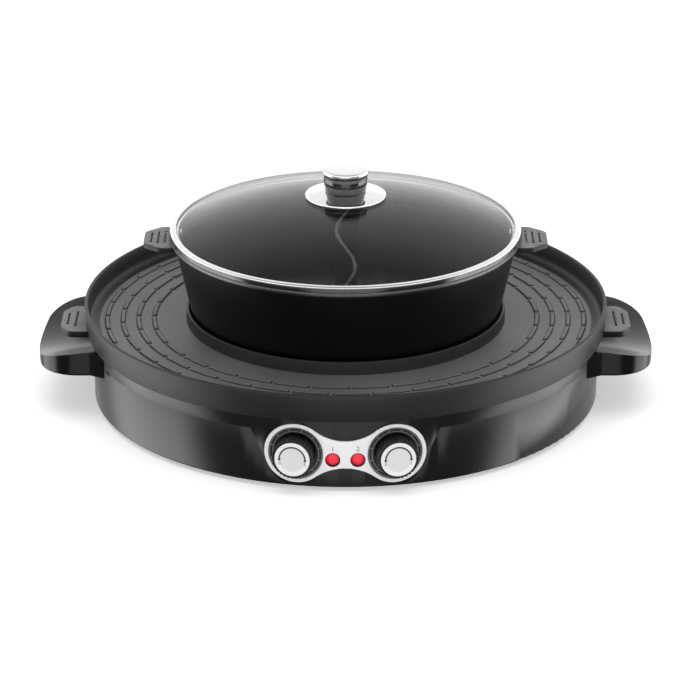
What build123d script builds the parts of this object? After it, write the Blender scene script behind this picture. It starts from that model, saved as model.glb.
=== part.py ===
from build123d import *
from math import asin, cos, degrees, pi, radians, sin, sqrt
import os

os.makedirs("parts", exist_ok=True)

# Countertop cooker: a round electric base, a ring-shaped grill pan on it, and a divided hot pot with a
# glass lid that stands through the hole of the pan. Millimetres, +Z up, the front faces -Y.
# The origin is on the table, under the middle of the base.

# Case of the base
base_radius = 194.0
case_wall = 2.5
foot_height = 3.0
seat_height = 59.0
parting_drop = 14.0
seat_width = 18.0
ledge_width = 8.0
ledge_drop = 9.0
drum_edge_round = 2.0
seat_edge_round = 1.5
flange_width = 17.5
flange_lift = 1.5
cover_thickness = 1.2
cover_gap = 2.5

# Control panel, which hangs from the top ring as an apron
panel_half_top = 68.5
panel_half_bottom = 49.0
panel_bottom = 5.0
panel_top_round = 6.0
panel_bottom_round = 14.0
dial_share = 0.3424
dial_ring_width = 4.6
dial_plate = 0.8
fascia_plate = 1.4
fascia_rim = 2.4
fascia_waist_share = 0.3525

# Knobs
knob_ring_gap = 0.6
knob_flutes = 30
flute_radius = 0.55
knob_length = 10.6
knob_wall = 2.2
knob_gap = 0.7
knob_cap_inset = 2.2
knob_cap_plate = 1.6
knob_cap_seat = 0.8
shaft_radius = 3.0
shaft_fit = 0.08
hub_radius = 5.0

# Lamps
lamp_offset = 9.0
lamp_radius = 5.5
lamp_side_gap = 1.0
lamp_edge_gap = 0.9
bezel_wall = 0.7
bezel_gap = 0.2
lens_dome = 0.8
lens_recess = 1.9
lens_flange = 1.2
lamp_bulb_radius = 2.6
lamp_bulb_length = 13.0

# Thermostats behind the knobs
thermostat_radius = 13.0
thermostat_depth = 14.0
thermostat_setback = 11.0
bracket_width = 34.0
bracket_rise = 20.0
bracket_thickness = 1.2
bushing_radius = 4.5
bushing_fit = 0.2
nut_across = 12.0
nut_height = 2.0
tab_width = 6.0
tab_thickness = 0.8
tab_length = 8.0
tab_spread = 7.0

# Fasteners
screw_radius = 2.0
screw_head_radius = 4.0
screw_head_height = 1.5
hole_fit = 0.2
small_screw_radius = 1.5
small_head_radius = 3.0
small_head_height = 1.2

# Posts of the top ring that take the case screws
post_count = 6
post_radius = 4.5
post_inset = 11.0
case_screw_depth = 16.0

# Rubber feet
foot_count = 4
foot_radius = 11.0
foot_taper = 1.5
foot_inset = 44.0
foot_stem_radius = 3.0
foot_head_radius = 4.5
foot_head_height = 1.6

# Vents of the bottom cover
vent_shares = (0.49, 0.593)
vent_count = 24
vent_length = 14.0
vent_width = 3.0

# Lug handles of the base
handle_reach = 41.5
handle_half_width = 61.5
handle_flare = 9.0
handle_flare_length = 15.0
handle_tip_bow = 9.0
handle_corner = 30.0
handle_flare_corner = 14.0
handle_drop = 4.5
handle_thickness = 19.0
trough_depth = 9.0
trough_radius = 191.0
trough_tilt = 6.0
handle_edge_round = 2.0
recess_wall = 9.0
recess_depth = 5.0
recess_half_width = 45.0
recess_round = 8.0
handle_screw_half_pitch = 45.0
handle_screw_rise = 4.5
handle_screw_depth = 14.0
handle_pad_radius = 4.8
handle_pad_depth = 3.0

# Grill pan
pan_thickness = 2.5
pan_depth = 15.3
pan_skirt_drop = 3.0
pan_skirt_gap = 1.2
pan_skirt_wall = 2.8
pan_flare_width = 2.0
pan_rim_wall = 2.6
pan_crease_inset = 3.4
pan_crease_height = 3.0
pan_cove_width = 8.0
pan_rim_round = 1.0
collar_height = 10.0
collar_wall = 2.5
collar_gap = 1.0
ridge_shares = (0.915, 0.734, 0.553, 0.372)
ridge_width = 2.6
ridge_height = 1.2
ridge_pitch = 29.0
ridge_gap = 4.0

# Grips of the grill pan
pan_ear_reach = 20.4
pan_ear_half_root = 27.0
pan_ear_half_tip = 16.0
pan_ear_straight = 13.5
pan_ear_round = 8.0
pan_ear_thickness = 5.0
pan_ear_rise = 1.5
pan_ear_groove_width = 1.6
pan_ear_groove_depth = 0.8
pan_ear_grooves = ((9.0, 30.0), (15.2, 22.0))
ear_dimple_radius = 1.25
ear_dimple_depth = 1.6
pan_tab_half_width = 18.0
pan_tab_length = 13.0
pan_tab_thickness = 2.0

# Hot pot
pot_sink = 18.0
pot_height = 88.9
pot_share = 0.678
pot_taper = 19.0
pot_corner = 22.0
pot_wall = 2.5
pot_flange = 2.46
pot_flange_height = 3.7
pot_flange_round = 0.8
divider_wall = 2.5
divider_clearance = 14.0
# The line of the divider, as shares of the mouth radius, from the back wall to the front wall
divider_shares = (
    (0.085, 0.99), (0.03, 0.72), (-0.055, 0.32), (0.0, 0.0), (0.055, -0.32), (-0.03, -0.72), (-0.085, -0.99),
)

# Grips of the hot pot
pot_ear_reach = 23.1
pot_ear_half_root = 24.0
pot_ear_half_tip = 13.0
pot_ear_straight = 10.3
pot_ear_round = 8.0
pot_ear_thickness = 4.0
pot_ear_drop = 4.8
pot_ear_groove_width = 1.4
pot_ear_groove_depth = 0.8
pot_ear_grooves = ((6.9, 28.0), (12.1, 25.0), (17.3, 20.0))
rivet_half_pitch = 12.0
rivet_radius = 1.6
rivet_head_radius = 3.2
rivet_head_height = 1.0
rivet_depth = 9.0

# Glass lid
lid_side_gap = 0.3
lid_ring_height = 4.8
lid_ring_width = 4.8
lid_ring_base = 0.5
lid_lip_depth = 2.6
lid_lip_wall = 1.2
lid_lip_gap = 0.8
glass_thickness = 3.0
glass_rise = 26.6
glass_tuck = 1.2
glass_hole_radius = 4.0
lid_flange_radius = 30.8
lid_flange_thickness = 1.6
lid_flange_rise = 2.6
lid_knob_foot_radius = 15.4
lid_knob_waist_radius = 16.6
lid_knob_disc_radius = 18.0
lid_knob_height = 17.8
lid_knob_disc_height = 5.0
lid_knob_groove = 1.0
lid_knob_crown = 0.8
washer_radius = 13.0
washer_height = 2.0
washer_fit = 0.1
lid_screw_radius = 3.0
lid_screw_head_radius = 5.5
lid_screw_head_height = 3.0
lid_screw_grip = 9.0

# Reflector, well and heaters inside the base
sheet_thickness = 0.8
reflector_drop = 6.0
reflector_slope = 6.0
reflector_edge_gap = 0.5
reflector_seat_gap = 1.0
well_gap = 1.2
well_floor_share = 0.3973
well_flange = 7.0
well_hole_share = 0.353
plate_share = 0.7265
plate_thickness = 8.0
plate_bulge_share = 0.706
plate_bulge_radius = 5.0
plate_leg_count = 3
plate_leg_share = 0.847
plate_leg_radius = 5.0
plate_screw_depth = 8.0
heater_share = 0.608
heater_tube_radius = 3.5
heater_gap = 1.0
heater_opening = 16.0
heater_leg = 18.0
heater_elbow_swell = 0.1
clip_count = 4
clip_share = 0.2157
clip_width = 6.0
insulator_wall = 1.6
insulator_rise = 1.6
insulator_drop = 4.0
well_screw_count = 6
well_screw_inset = 3.5
well_screw_depth = 3.0

# Power inlet and wiring
inlet_width = 28.0
inlet_rise = 20.0
inlet_depth = 22.0
inlet_flange_width = 44.0
inlet_flange_rise = 25.0
inlet_flange_plate = 2.0
inlet_round = 2.5
inlet_wall = 2.4
inlet_recess_depth = 16.0
inlet_screw_half_pitch = 18.0
inlet_screw_depth = 8.0
pin_width = 2.0
pin_rise = 5.0
pin_length = 12.0
pin_spacing = 7.0
pin_tail = 10.0
earth_pin_raise = 2.0
block_width = 52.0
block_depth = 18.0
block_drop = 6.5
block_setback = 4.6
block_way_inset = 2.6
wire_radius = 1.4
wire_raise = 3.0
wire_share = 0.3087
wire_bend = 5.0
wire_sweep_bend = 45.0
wire_lead = 14.0
wire_headings = (72, 48, 24, 0, -24, -48)
fuse_radius = 3.0
fuse_length = 22.0
fuse_offset = 36.0

# One overrun serves all cuts that run past a face
overrun = 10.0

# Levels and radii that follow from the sizes above
parting_height = seat_height - parting_drop
case_inner = base_radius - case_wall
seat_inner = base_radius - seat_width
ledge_top = seat_height - ledge_drop
ledge_inner = seat_inner - ledge_width
flange_bottom = foot_height + flange_lift
flange_top = flange_bottom + case_wall
cover_bottom = flange_bottom - cover_thickness
post_circle = base_radius - post_inset
foot_circle = base_radius - foot_inset
dial_height = seat_height / 2
dial_radius = seat_height * dial_share
dial_inner_radius = dial_radius - dial_ring_width
dial_offset = dial_radius + lamp_offset + lamp_radius + lamp_side_gap
dial_angle = degrees(asin(dial_offset / base_radius))
fascia_waist = seat_height * fascia_waist_share
knob_radius = dial_inner_radius - knob_ring_gap
knob_cap_radius = knob_radius - knob_cap_inset
lamp_height = dial_height - fascia_waist / 2 + lamp_edge_gap + lamp_radius
lamp_angle = degrees(asin(lamp_offset / base_radius))
fascia_face = base_radius + fascia_plate
wall_at_screw = sqrt(base_radius**2 - handle_screw_half_pitch**2)
pad_face = sqrt(case_inner**2 - handle_screw_half_pitch**2) - handle_pad_depth
handle_top = seat_height - handle_drop
handle_bottom = handle_top - handle_thickness
handle_screw_height = handle_bottom + handle_screw_rise

pan_floor = seat_height + pan_thickness
pan_rim = pan_floor + pan_depth
skirt_inner = base_radius + pan_skirt_gap
skirt_outer = skirt_inner + pan_skirt_wall
skirt_bottom = seat_height - pan_skirt_drop
rim_radius = skirt_outer + pan_flare_width

pot_bottom_height = seat_height - pot_sink
pot_mouth_radius = base_radius * pot_share
pot_rim = pot_bottom_height + pot_height
pot_base_radius = pot_mouth_radius - pot_taper
pot_floor = pot_bottom_height + pot_wall
pot_slope = pot_taper / pot_height
collar_top = pan_floor + collar_height
collar_inner = pot_base_radius + pot_slope * (collar_top - pot_bottom_height) + collar_gap
flange_radius = pot_mouth_radius + pot_flange

reflector_floor = ledge_top - reflector_drop
reflector_top = reflector_floor + sheet_thickness
well_radius = pot_base_radius + well_gap
well_floor = flange_bottom + well_floor_share * (pot_bottom_height - flange_bottom)
plate_radius = well_radius * plate_share
plate_bulge_circle = plate_radius * plate_bulge_share
plate_leg_circle = plate_radius * plate_leg_share
heater_height = seat_height - heater_gap - heater_tube_radius
heater_circle = well_radius + heater_share * (ledge_inner - well_radius)

inlet_height = (foot_height + parting_height) / 2
block_distance = heater_circle * cos(radians(heater_opening / 2)) - block_setback
wire_height = inlet_height + wire_raise
wire_circle = well_radius + wire_share * (case_inner - well_radius)


def outward_plane(angle, distance, height):
    """A plane that faces straight out of the case, turned by angle from the front centre."""
    turn = radians(angle)
    return Plane(
        origin=(distance * sin(turn), -distance * cos(turn), height),
        x_dir=(cos(turn), sin(turn), 0),
        z_dir=(sin(turn), -cos(turn), 0),
    )


def section_plane(angle, height):
    """An upright plane through the middle of the case, with its x axis pointing out of the case."""
    turn = radians(angle)
    return Plane(
        origin=(0, 0, height),
        x_dir=(sin(turn), -cos(turn), 0),
        z_dir=(-cos(turn), -sin(turn), 0),
    )


def outward_axis(angle, height):
    """A level axis from the middle of the case outwards."""
    turn = radians(angle)
    return Axis((0, 0, height), (sin(turn), -cos(turn), 0))


def side_plane(side, distance, along, height):
    """An upright plane that faces the left (-1) or right (1) side, distance away from the middle."""
    return Plane(origin=(side * distance, along, height), x_dir=(0, 1, 0), z_dir=(side, 0, 0))


def grip_plan(root, reach, half_root, half_tip, straight, corner):
    """The plan of a grip: two straight sides that draw in to a narrower tip, with rounded corners."""
    with BuildSketch() as plan:
        with BuildLine():
            Polyline(
                (root, -half_root),
                (root + straight, -half_root),
                (root + reach, -half_tip),
                (root + reach, half_tip),
                (root + straight, half_root),
                (root, half_root),
                close=True,
            )
        make_face()
        by_reach = plan.vertices().group_by(Axis.X)
        fillet(by_reach[-1] + by_reach[-2], radius=corner)
    return plan.sketch


# Apron outline, cut out of the drum and filled by the top ring: a patch of the case wall
with BuildPart() as panel_patch:
    with BuildSketch(Plane.XZ) as panel_outline:
        shoulder = panel_half_top + 2 * panel_top_round
        with BuildLine():
            Polyline(
                (-shoulder, parting_height),
                (-panel_half_top, parting_height),
                (-panel_half_bottom, panel_bottom),
                (panel_half_bottom, panel_bottom),
                (panel_half_top, parting_height),
                (shoulder, parting_height),
                (shoulder, parting_height + case_wall),
                (-shoulder, parting_height + case_wall),
                close=True,
            )
        make_face()
        by_height = panel_outline.vertices().group_by(Axis.Y)
        fillet(by_height[0], radius=panel_bottom_round)
        fillet(by_height[1].sort_by(Axis.X)[1:3], radius=panel_top_round)
    extrude(amount=base_radius + overrun)
    with BuildSketch(Plane.XY):
        Circle(base_radius)
        Circle(case_inner, mode=Mode.SUBTRACT)
    extrude(amount=seat_height, mode=Mode.INTERSECT)

# Outer drum with the inward flange that the bottom cover closes
with BuildPart() as base_drum:
    with BuildSketch(Plane.XZ):
        with BuildLine():
            Polyline(
                (base_radius, foot_height),
                (base_radius, parting_height),
                (case_inner, parting_height),
                (case_inner, flange_top),
                (case_inner - flange_width, flange_top),
                (case_inner - flange_width, flange_bottom),
                (case_inner, flange_bottom),
                (case_inner, foot_height),
                close=True,
            )
        make_face()
    revolve(axis=Axis.Z)
    bottom_edges = base_drum.edges().filter_by(GeomType.CIRCLE).group_by(Axis.Z)[0]
    fillet(bottom_edges.sort_by(SortBy.LENGTH)[-1], radius=drum_edge_round)
    # Pads inside the wall where the handle screws seat
    for side in (-1, 1):
        for end in (-1, 1):
            screw_plane = side_plane(side, pad_face, end * handle_screw_half_pitch, handle_screw_height)
            with BuildSketch(screw_plane):
                Circle(handle_pad_radius)
            extrude(amount=wall_at_screw - pad_face - case_wall / 2)
            with BuildSketch(screw_plane):
                Circle(screw_radius + hole_fit)
            extrude(amount=wall_at_screw - pad_face + overrun, mode=Mode.SUBTRACT)
    with BuildSketch(Plane.XY.offset(foot_height)):
        with PolarLocations(post_circle, post_count):
            Circle(screw_radius + hole_fit)
    extrude(amount=overrun, mode=Mode.SUBTRACT)
    # Opening and screw holes of the power inlet, at the back
    with BuildSketch(Plane.XZ.offset(-base_radius - overrun)):
        with Locations((0, inlet_height)):
            Rectangle(inlet_width, inlet_rise)
        with Locations((-inlet_screw_half_pitch, inlet_height), (inlet_screw_half_pitch, inlet_height)):
            Circle(small_screw_radius + hole_fit)
    extrude(amount=2 * overrun + case_wall, mode=Mode.SUBTRACT)
    add(panel_patch.part, mode=Mode.SUBTRACT)
base_drum.part.label = "base_drum"
export_step(base_drum.part, "parts/base_drum.step")

# Top ring: the flat seat of the grill pan, the ledge of the reflector, the posts and the apron
with BuildPart() as top_ring:
    with BuildSketch(Plane.XZ):
        with BuildLine():
            Polyline(
                (base_radius, parting_height),
                (base_radius, seat_height),
                (seat_inner, seat_height),
                (seat_inner, ledge_top),
                (ledge_inner, ledge_top),
                (ledge_inner, ledge_top - case_wall),
                (seat_inner + case_wall, ledge_top - case_wall),
                (seat_inner + case_wall, seat_height - case_wall),
                (case_inner, seat_height - case_wall),
                (case_inner, parting_height),
                close=True,
            )
        make_face()
    revolve(axis=Axis.Z)
    seat_edge = top_ring.edges().filter_by(GeomType.CIRCLE).group_by(Axis.Z)[-1].sort_by(SortBy.LENGTH)[-1]
    fillet(seat_edge, radius=seat_edge_round)
    add(panel_patch.part)
    with BuildSketch(Plane.XY.offset(flange_top)):
        with PolarLocations(post_circle, post_count):
            Circle(post_radius)
    extrude(amount=seat_height - case_wall - flange_top)
    with BuildSketch(Plane.XY.offset(flange_top)):
        with PolarLocations(post_circle, post_count):
            Circle(screw_radius)
    extrude(amount=case_screw_depth, mode=Mode.SUBTRACT)
    for side in (-1, 1):
        with BuildSketch(outward_plane(side * dial_angle, case_inner - overrun, dial_height)):
            Circle(bushing_radius + bushing_fit)
        extrude(amount=case_wall + 2 * overrun, mode=Mode.SUBTRACT)
        with BuildSketch(outward_plane(side * lamp_angle, case_inner - overrun, lamp_height)):
            Circle(lamp_radius)
        extrude(amount=case_wall + 2 * overrun, mode=Mode.SUBTRACT)
top_ring.part.label = "top_ring"
export_step(top_ring.part, "parts/top_ring.step")

# Bottom cover: a steel disc with vent slots, foot holes and screw holes
with BuildPart() as bottom_cover:
    with BuildSketch(Plane.XY.offset(cover_bottom)):
        Circle(case_inner - cover_gap)
        for vent_share in vent_shares:
            with PolarLocations(base_radius * vent_share, vent_count):
                SlotOverall(vent_length, vent_width, mode=Mode.SUBTRACT)
        with PolarLocations(foot_circle, foot_count, start_angle=180 / foot_count):
            Circle(foot_stem_radius, mode=Mode.SUBTRACT)
        with PolarLocations(post_circle, post_count):
            Circle(screw_radius + hole_fit, mode=Mode.SUBTRACT)
        with Locations((0, block_distance)):
            Circle(small_screw_radius + hole_fit, mode=Mode.SUBTRACT)
    extrude(amount=cover_thickness)
bottom_cover.part.label = "bottom_cover"
export_step(bottom_cover.part, "parts/bottom_cover.step")

# Rubber feet, each pushed through the cover by its mushroom stem
with BuildPart() as feet:
    with PolarLocations(foot_circle, foot_count, start_angle=180 / foot_count):
        with Locations((0, 0, cover_bottom / 2)):
            Cone(foot_radius - foot_taper, foot_radius, cover_bottom)
        with Locations((0, 0, cover_bottom + cover_thickness / 2)):
            Cylinder(foot_stem_radius, cover_thickness)
        with Locations((0, 0, flange_bottom + foot_head_height / 2)):
            Cone(foot_head_radius, foot_stem_radius, foot_head_height)
feet.part.label = "feet"
export_step(feet.part, "parts/feet.step")

# Case screws: through cover and flange into the posts
with BuildPart() as case_screws:
    with BuildSketch(Plane.XY.offset(cover_bottom)):
        with PolarLocations(post_circle, post_count):
            Circle(screw_radius)
    extrude(amount=flange_top - cover_bottom + case_screw_depth - screw_head_height)
    with BuildSketch(Plane.XY.offset(cover_bottom)):
        with PolarLocations(post_circle, post_count):
            Circle(screw_head_radius)
            RegularPolygon(screw_radius, 6, mode=Mode.SUBTRACT)
    extrude(amount=-screw_head_height)
case_screws.part.label = "case_screws"
export_step(case_screws.part, "parts/case_screws.step")

# Right lug handle: a rounded lug with a shallow trough on top and a finger recess underneath
handle_tip = base_radius + handle_reach
with BuildPart() as handle_right:
    with BuildSketch(Plane.XY.offset(handle_bottom)) as handle_outline:
        root_half_width = handle_half_width + handle_flare
        flare_start = sqrt(base_radius**2 - root_half_width**2) - case_wall
        flare_end = flare_start + handle_flare_length
        corner_x = handle_tip - handle_tip_bow
        with BuildLine():
            Line((flare_start, -root_half_width), (flare_end, -handle_half_width))
            Line((flare_end, -handle_half_width), (corner_x, -handle_half_width))
            ThreePointArc((corner_x, -handle_half_width), (handle_tip, 0), (corner_x, handle_half_width))
            Line((corner_x, handle_half_width), (flare_end, handle_half_width))
            Line((flare_end, handle_half_width), (flare_start, root_half_width))
            Line((flare_start, root_half_width), (flare_start, -root_half_width))
        make_face()
        by_reach = handle_outline.vertices().group_by(Axis.X)
        fillet(by_reach[-1], radius=handle_corner)
        fillet(by_reach[-2], radius=handle_flare_corner)
    extrude(amount=handle_top - handle_bottom)
    trough_axis = Plane(
        origin=(base_radius, 0, handle_top - trough_depth + trough_radius),
        x_dir=(0, 1, 0),
        z_dir=(cos(radians(trough_tilt)), 0, -sin(radians(trough_tilt))),
    )
    with BuildSketch(trough_axis.offset(-handle_reach)):
        Circle(trough_radius)
    extrude(amount=3 * handle_reach, mode=Mode.SUBTRACT)
    fillet(handle_right.faces().sort_by(Axis.Z)[0].outer_wire().edges(), radius=handle_edge_round)
    with BuildSketch(Plane.XY):
        Circle(base_radius)
    extrude(amount=seat_height, mode=Mode.SUBTRACT)
    with BuildSketch(Plane.XY.offset(handle_bottom)):
        recess_start = base_radius + recess_wall
        recess_end = handle_tip - recess_wall
        with Locations(((recess_start + recess_end) / 2, 0)):
            RectangleRounded(recess_end - recess_start, 2 * recess_half_width, recess_round)
    extrude(amount=recess_depth, mode=Mode.SUBTRACT)
    for end in (-1, 1):
        with BuildSketch(Plane.YZ.offset(base_radius - handle_reach)):
            with Locations((end * handle_screw_half_pitch, handle_screw_height)):
                Circle(screw_radius)
        extrude(amount=wall_at_screw + handle_screw_depth - base_radius + handle_reach, mode=Mode.SUBTRACT)
handle_right.part.label = "handle_right"
export_step(handle_right.part, "parts/handle_right.step")

with BuildPart() as handle_left:
    mirror(handle_right.part, about=Plane.YZ)
handle_left.part.label = "handle_left"
export_step(handle_left.part, "parts/handle_left.step")

# Screws from inside the drum into the roots of both handles
with BuildPart() as handle_screws:
    for side in (-1, 1):
        for end in (-1, 1):
            screw_plane = side_plane(side, pad_face, end * handle_screw_half_pitch, handle_screw_height)
            with BuildSketch(screw_plane):
                Circle(screw_radius)
            extrude(amount=wall_at_screw + handle_screw_depth - screw_radius - pad_face)
            with BuildSketch(screw_plane):
                Circle(screw_head_radius)
                RegularPolygon(screw_radius, 6, mode=Mode.SUBTRACT)
            extrude(amount=-screw_head_height)
handle_screws.part.label = "handle_screws"
export_step(handle_screws.part, "parts/handle_screws.step")

# Bright fascia of the control panel: two round lobes with a waist, curved like the drum
fascia_lobe = dial_radius + fascia_rim
# The waist is hollowed by two arcs that run smoothly into the lobes
waist_half = fascia_waist / 2
waist_round = (dial_offset**2 + waist_half**2 - fascia_lobe**2) / (2 * (fascia_lobe - waist_half))
waist_rise = waist_half + waist_round
touch_share = fascia_lobe / (fascia_lobe + waist_round)
with BuildPart() as control_fascia:
    with BuildSketch(Plane.XZ):
        with Locations((0, dial_height)):
            Rectangle(2 * dial_offset * (1 - touch_share), 2 * waist_rise * touch_share)
        with Locations((0, dial_height - waist_rise), (0, dial_height + waist_rise)):
            Circle(waist_round, mode=Mode.SUBTRACT)
        with Locations((-dial_offset, dial_height), (dial_offset, dial_height)):
            Circle(fascia_lobe)
    extrude(amount=base_radius + overrun)
    with BuildSketch(Plane.XY):
        Circle(fascia_face)
        Circle(base_radius, mode=Mode.SUBTRACT)
    extrude(amount=seat_height, mode=Mode.INTERSECT)
    for side in (-1, 1):
        with BuildSketch(outward_plane(side * dial_angle, base_radius - overrun, dial_height)):
            Circle(dial_radius)
        extrude(amount=2 * overrun, mode=Mode.SUBTRACT)
        with BuildSketch(outward_plane(side * lamp_angle, base_radius - overrun, lamp_height)):
            Circle(lamp_radius)
        extrude(amount=2 * overrun, mode=Mode.SUBTRACT)
control_fascia.part.label = "control_fascia"
export_step(control_fascia.part, "parts/control_fascia.step")

# The knobs, their shafts and dials, the thermostats and the lamps, the same on both sides
knob_back = fascia_face + knob_gap
knob_front = knob_back + knob_length
knob_cavity = knob_length / 2
thermostat_front = case_inner - thermostat_setback
thermostat_back = thermostat_front - thermostat_depth
for name, side in (("left", -1), ("right", 1)):
    dial_side = side * dial_angle

    # Dial ring round the knob, curved like the wall under it
    with BuildPart() as dial_ring:
        with BuildSketch(outward_plane(dial_side, base_radius - overrun, dial_height)):
            Circle(dial_radius)
            Circle(dial_inner_radius, mode=Mode.SUBTRACT)
        extrude(amount=2 * overrun)
        with BuildSketch(Plane.XY):
            Circle(base_radius + dial_plate)
            Circle(base_radius, mode=Mode.SUBTRACT)
        extrude(amount=seat_height, mode=Mode.INTERSECT)
    dial_ring.part.label = f"dial_ring_{name}"
    export_step(dial_ring.part, f"parts/dial_ring_{name}.step")

    # Fluted barrel of the knob, hollow at the back, with a hub for the shaft and a seat for the cap
    with BuildPart() as knob:
        with BuildSketch(outward_plane(dial_side, knob_back, dial_height)):
            Circle(knob_radius)
            with PolarLocations(knob_radius, knob_flutes):
                Circle(flute_radius, mode=Mode.SUBTRACT)
        extrude(amount=knob_length)
        with BuildSketch(outward_plane(dial_side, knob_back, dial_height)):
            Circle(knob_radius - knob_wall)
            Circle(hub_radius, mode=Mode.SUBTRACT)
        extrude(amount=knob_cavity, mode=Mode.SUBTRACT)
        with BuildSketch(outward_plane(dial_side, knob_back, dial_height)):
            Circle(nut_across / sqrt(3) + knob_gap)
        extrude(amount=nut_height + knob_gap, mode=Mode.SUBTRACT)
        with BuildSketch(outward_plane(dial_side, knob_back, dial_height)):
            Circle(shaft_radius)
        extrude(amount=knob_length - knob_wall, mode=Mode.SUBTRACT)
        with BuildSketch(outward_plane(dial_side, knob_front, dial_height)):
            Circle(knob_cap_radius)
        extrude(amount=-knob_cap_seat, mode=Mode.SUBTRACT)
    knob.part.label = f"knob_{name}"
    export_step(knob.part, f"parts/knob_{name}.step")

    # Metal-look cap on the front of the knob
    with BuildPart() as knob_cap:
        with BuildSketch(outward_plane(dial_side, knob_front - knob_cap_seat, dial_height)):
            Circle(knob_cap_radius)
        extrude(amount=knob_cap_plate)
        cap_face = knob_cap.faces().sort_by(outward_axis(dial_side, dial_height))[-1]
        fillet(cap_face.edges(), radius=(knob_cap_plate - knob_cap_seat) / 2)
    knob_cap.part.label = f"knob_cap_{name}"
    export_step(knob_cap.part, f"parts/knob_cap_{name}.step")

    # Shaft that the knob turns, running in the bushing of the thermostat
    shaft_tail = thermostat_front - thermostat_depth / 2
    with BuildPart() as knob_shaft:
        with BuildSketch(outward_plane(dial_side, shaft_tail, dial_height)):
            Circle(shaft_radius)
        extrude(amount=knob_front - knob_wall - shaft_tail)
    knob_shaft.part.label = f"knob_shaft_{name}"
    export_step(knob_shaft.part, f"parts/knob_shaft_{name}.step")

    # Thermostat: round body, bracket plate, threaded bushing through the wall and two tabs
    with BuildPart() as thermostat:
        with BuildSketch(outward_plane(dial_side, thermostat_back, dial_height)):
            Circle(thermostat_radius)
        extrude(amount=thermostat_depth)
        with BuildSketch(outward_plane(dial_side, thermostat_front, dial_height)):
            Rectangle(bracket_width, bracket_rise)
        extrude(amount=bracket_thickness)
        with BuildSketch(outward_plane(dial_side, thermostat_front, dial_height)):
            Circle(bushing_radius)
        extrude(amount=base_radius + nut_height - thermostat_front)
        with BuildSketch(outward_plane(dial_side, thermostat_back, dial_height)):
            with Locations((-tab_spread, 0), (tab_spread, 0)):
                Rectangle(tab_thickness, tab_width)
        extrude(amount=-tab_length)
        with BuildSketch(outward_plane(dial_side, shaft_tail - knob_gap, dial_height)):
            Circle(shaft_radius + shaft_fit)
        extrude(amount=base_radius + overrun - shaft_tail, mode=Mode.SUBTRACT)
    thermostat.part.label = f"thermostat_{name}"
    export_step(thermostat.part, f"parts/thermostat_{name}.step")

    # Hexagon nut that clamps the bushing to the panel, hidden in the back of the knob
    with BuildPart() as thermostat_nut:
        with BuildSketch(outward_plane(dial_side, base_radius, dial_height)):
            RegularPolygon(nut_across / sqrt(3), 6)
            Circle(bushing_radius, mode=Mode.SUBTRACT)
        extrude(amount=nut_height)
    thermostat_nut.part.label = f"thermostat_nut_{name}"
    export_step(thermostat_nut.part, f"parts/thermostat_nut_{name}.step")

    # Red lens of the pilot lamp: domed in front, sunk in its bezel, with a flange behind the wall
    lamp_side = side * lamp_angle
    lens_radius = lamp_radius - bezel_wall
    lens_back = case_inner - bezel_gap
    lens_front = fascia_face - lens_recess
    dome_radius = (lens_radius**2 + lens_dome**2) / (2 * lens_dome)
    with BuildPart() as indicator_lens:
        with BuildSketch(section_plane(lamp_side, lamp_height)):
            with BuildLine():
                Polyline(
                    (lens_front, lens_radius),
                    (lens_back, lens_radius),
                    (lens_back, lamp_radius + lens_flange),
                    (lens_back - lens_flange, lamp_radius + lens_flange),
                    (lens_back - lens_flange, 0),
                    (lens_front + lens_dome, 0),
                )
                dome_x = lens_front + lens_dome - dome_radius
                dome_turn = asin(lens_radius / dome_radius) / 2
                dome_mid = (dome_x + dome_radius * cos(dome_turn), dome_radius * sin(dome_turn))
                ThreePointArc((lens_front + lens_dome, 0), dome_mid, (lens_front, lens_radius))
            make_face()
        revolve(axis=outward_axis(lamp_side, lamp_height))
    indicator_lens.part.label = f"indicator_lens_{name}"
    export_step(indicator_lens.part, f"parts/indicator_lens_{name}.step")

# Black bezels that line the lamp holes
with BuildPart() as lamp_bezels:
    for side in (-1, 1):
        with BuildSketch(outward_plane(side * lamp_angle, lens_back, lamp_height)):
            Circle(lamp_radius)
            Circle(lamp_radius - bezel_wall, mode=Mode.SUBTRACT)
        extrude(amount=fascia_face - lens_back)
lamp_bezels.part.label = "lamp_bezels"
export_step(lamp_bezels.part, "parts/lamp_bezels.step")

# Neon lamps behind the lenses
with BuildPart() as neon_lamps:
    for side in (-1, 1):
        with BuildSketch(outward_plane(side * lamp_angle, lens_back - lens_flange, lamp_height)):
            Circle(lamp_bulb_radius)
        extrude(amount=-lamp_bulb_length)
neon_lamps.part.label = "neon_lamps"
export_step(neon_lamps.part, "parts/neon_lamps.step")

# Reflector: a bright sheet dish under the grill heater, resting on the ledge of the top ring
reflector_outer = seat_inner - reflector_edge_gap
reflector_step = ledge_inner - reflector_seat_gap
heater_leg_angles = (90 - heater_opening / 2, 90 + heater_opening / 2)
with BuildPart() as reflector:
    with BuildSketch(Plane.XZ):
        with BuildLine():
            Polyline(
                (reflector_outer, ledge_top),
                (reflector_outer, ledge_top + sheet_thickness),
                (reflector_step - sheet_thickness / 2, ledge_top + sheet_thickness),
                (reflector_step - reflector_slope - sheet_thickness / 2, reflector_top),
                (well_radius + sheet_thickness, reflector_top),
                (well_radius + sheet_thickness, reflector_floor),
                (reflector_step - reflector_slope, reflector_floor),
                (reflector_step, ledge_top),
                close=True,
            )
        make_face()
    revolve(axis=Axis.Z)
    with BuildSketch(Plane.XY.offset(reflector_floor - overrun)):
        for leg_angle in heater_leg_angles:
            with PolarLocations(heater_circle, 1, start_angle=leg_angle):
                Circle(heater_tube_radius + insulator_wall)
        with PolarLocations(well_radius + well_flange - well_screw_inset, well_screw_count):
            Circle(small_screw_radius)
    extrude(amount=2 * overrun, mode=Mode.SUBTRACT)
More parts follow.
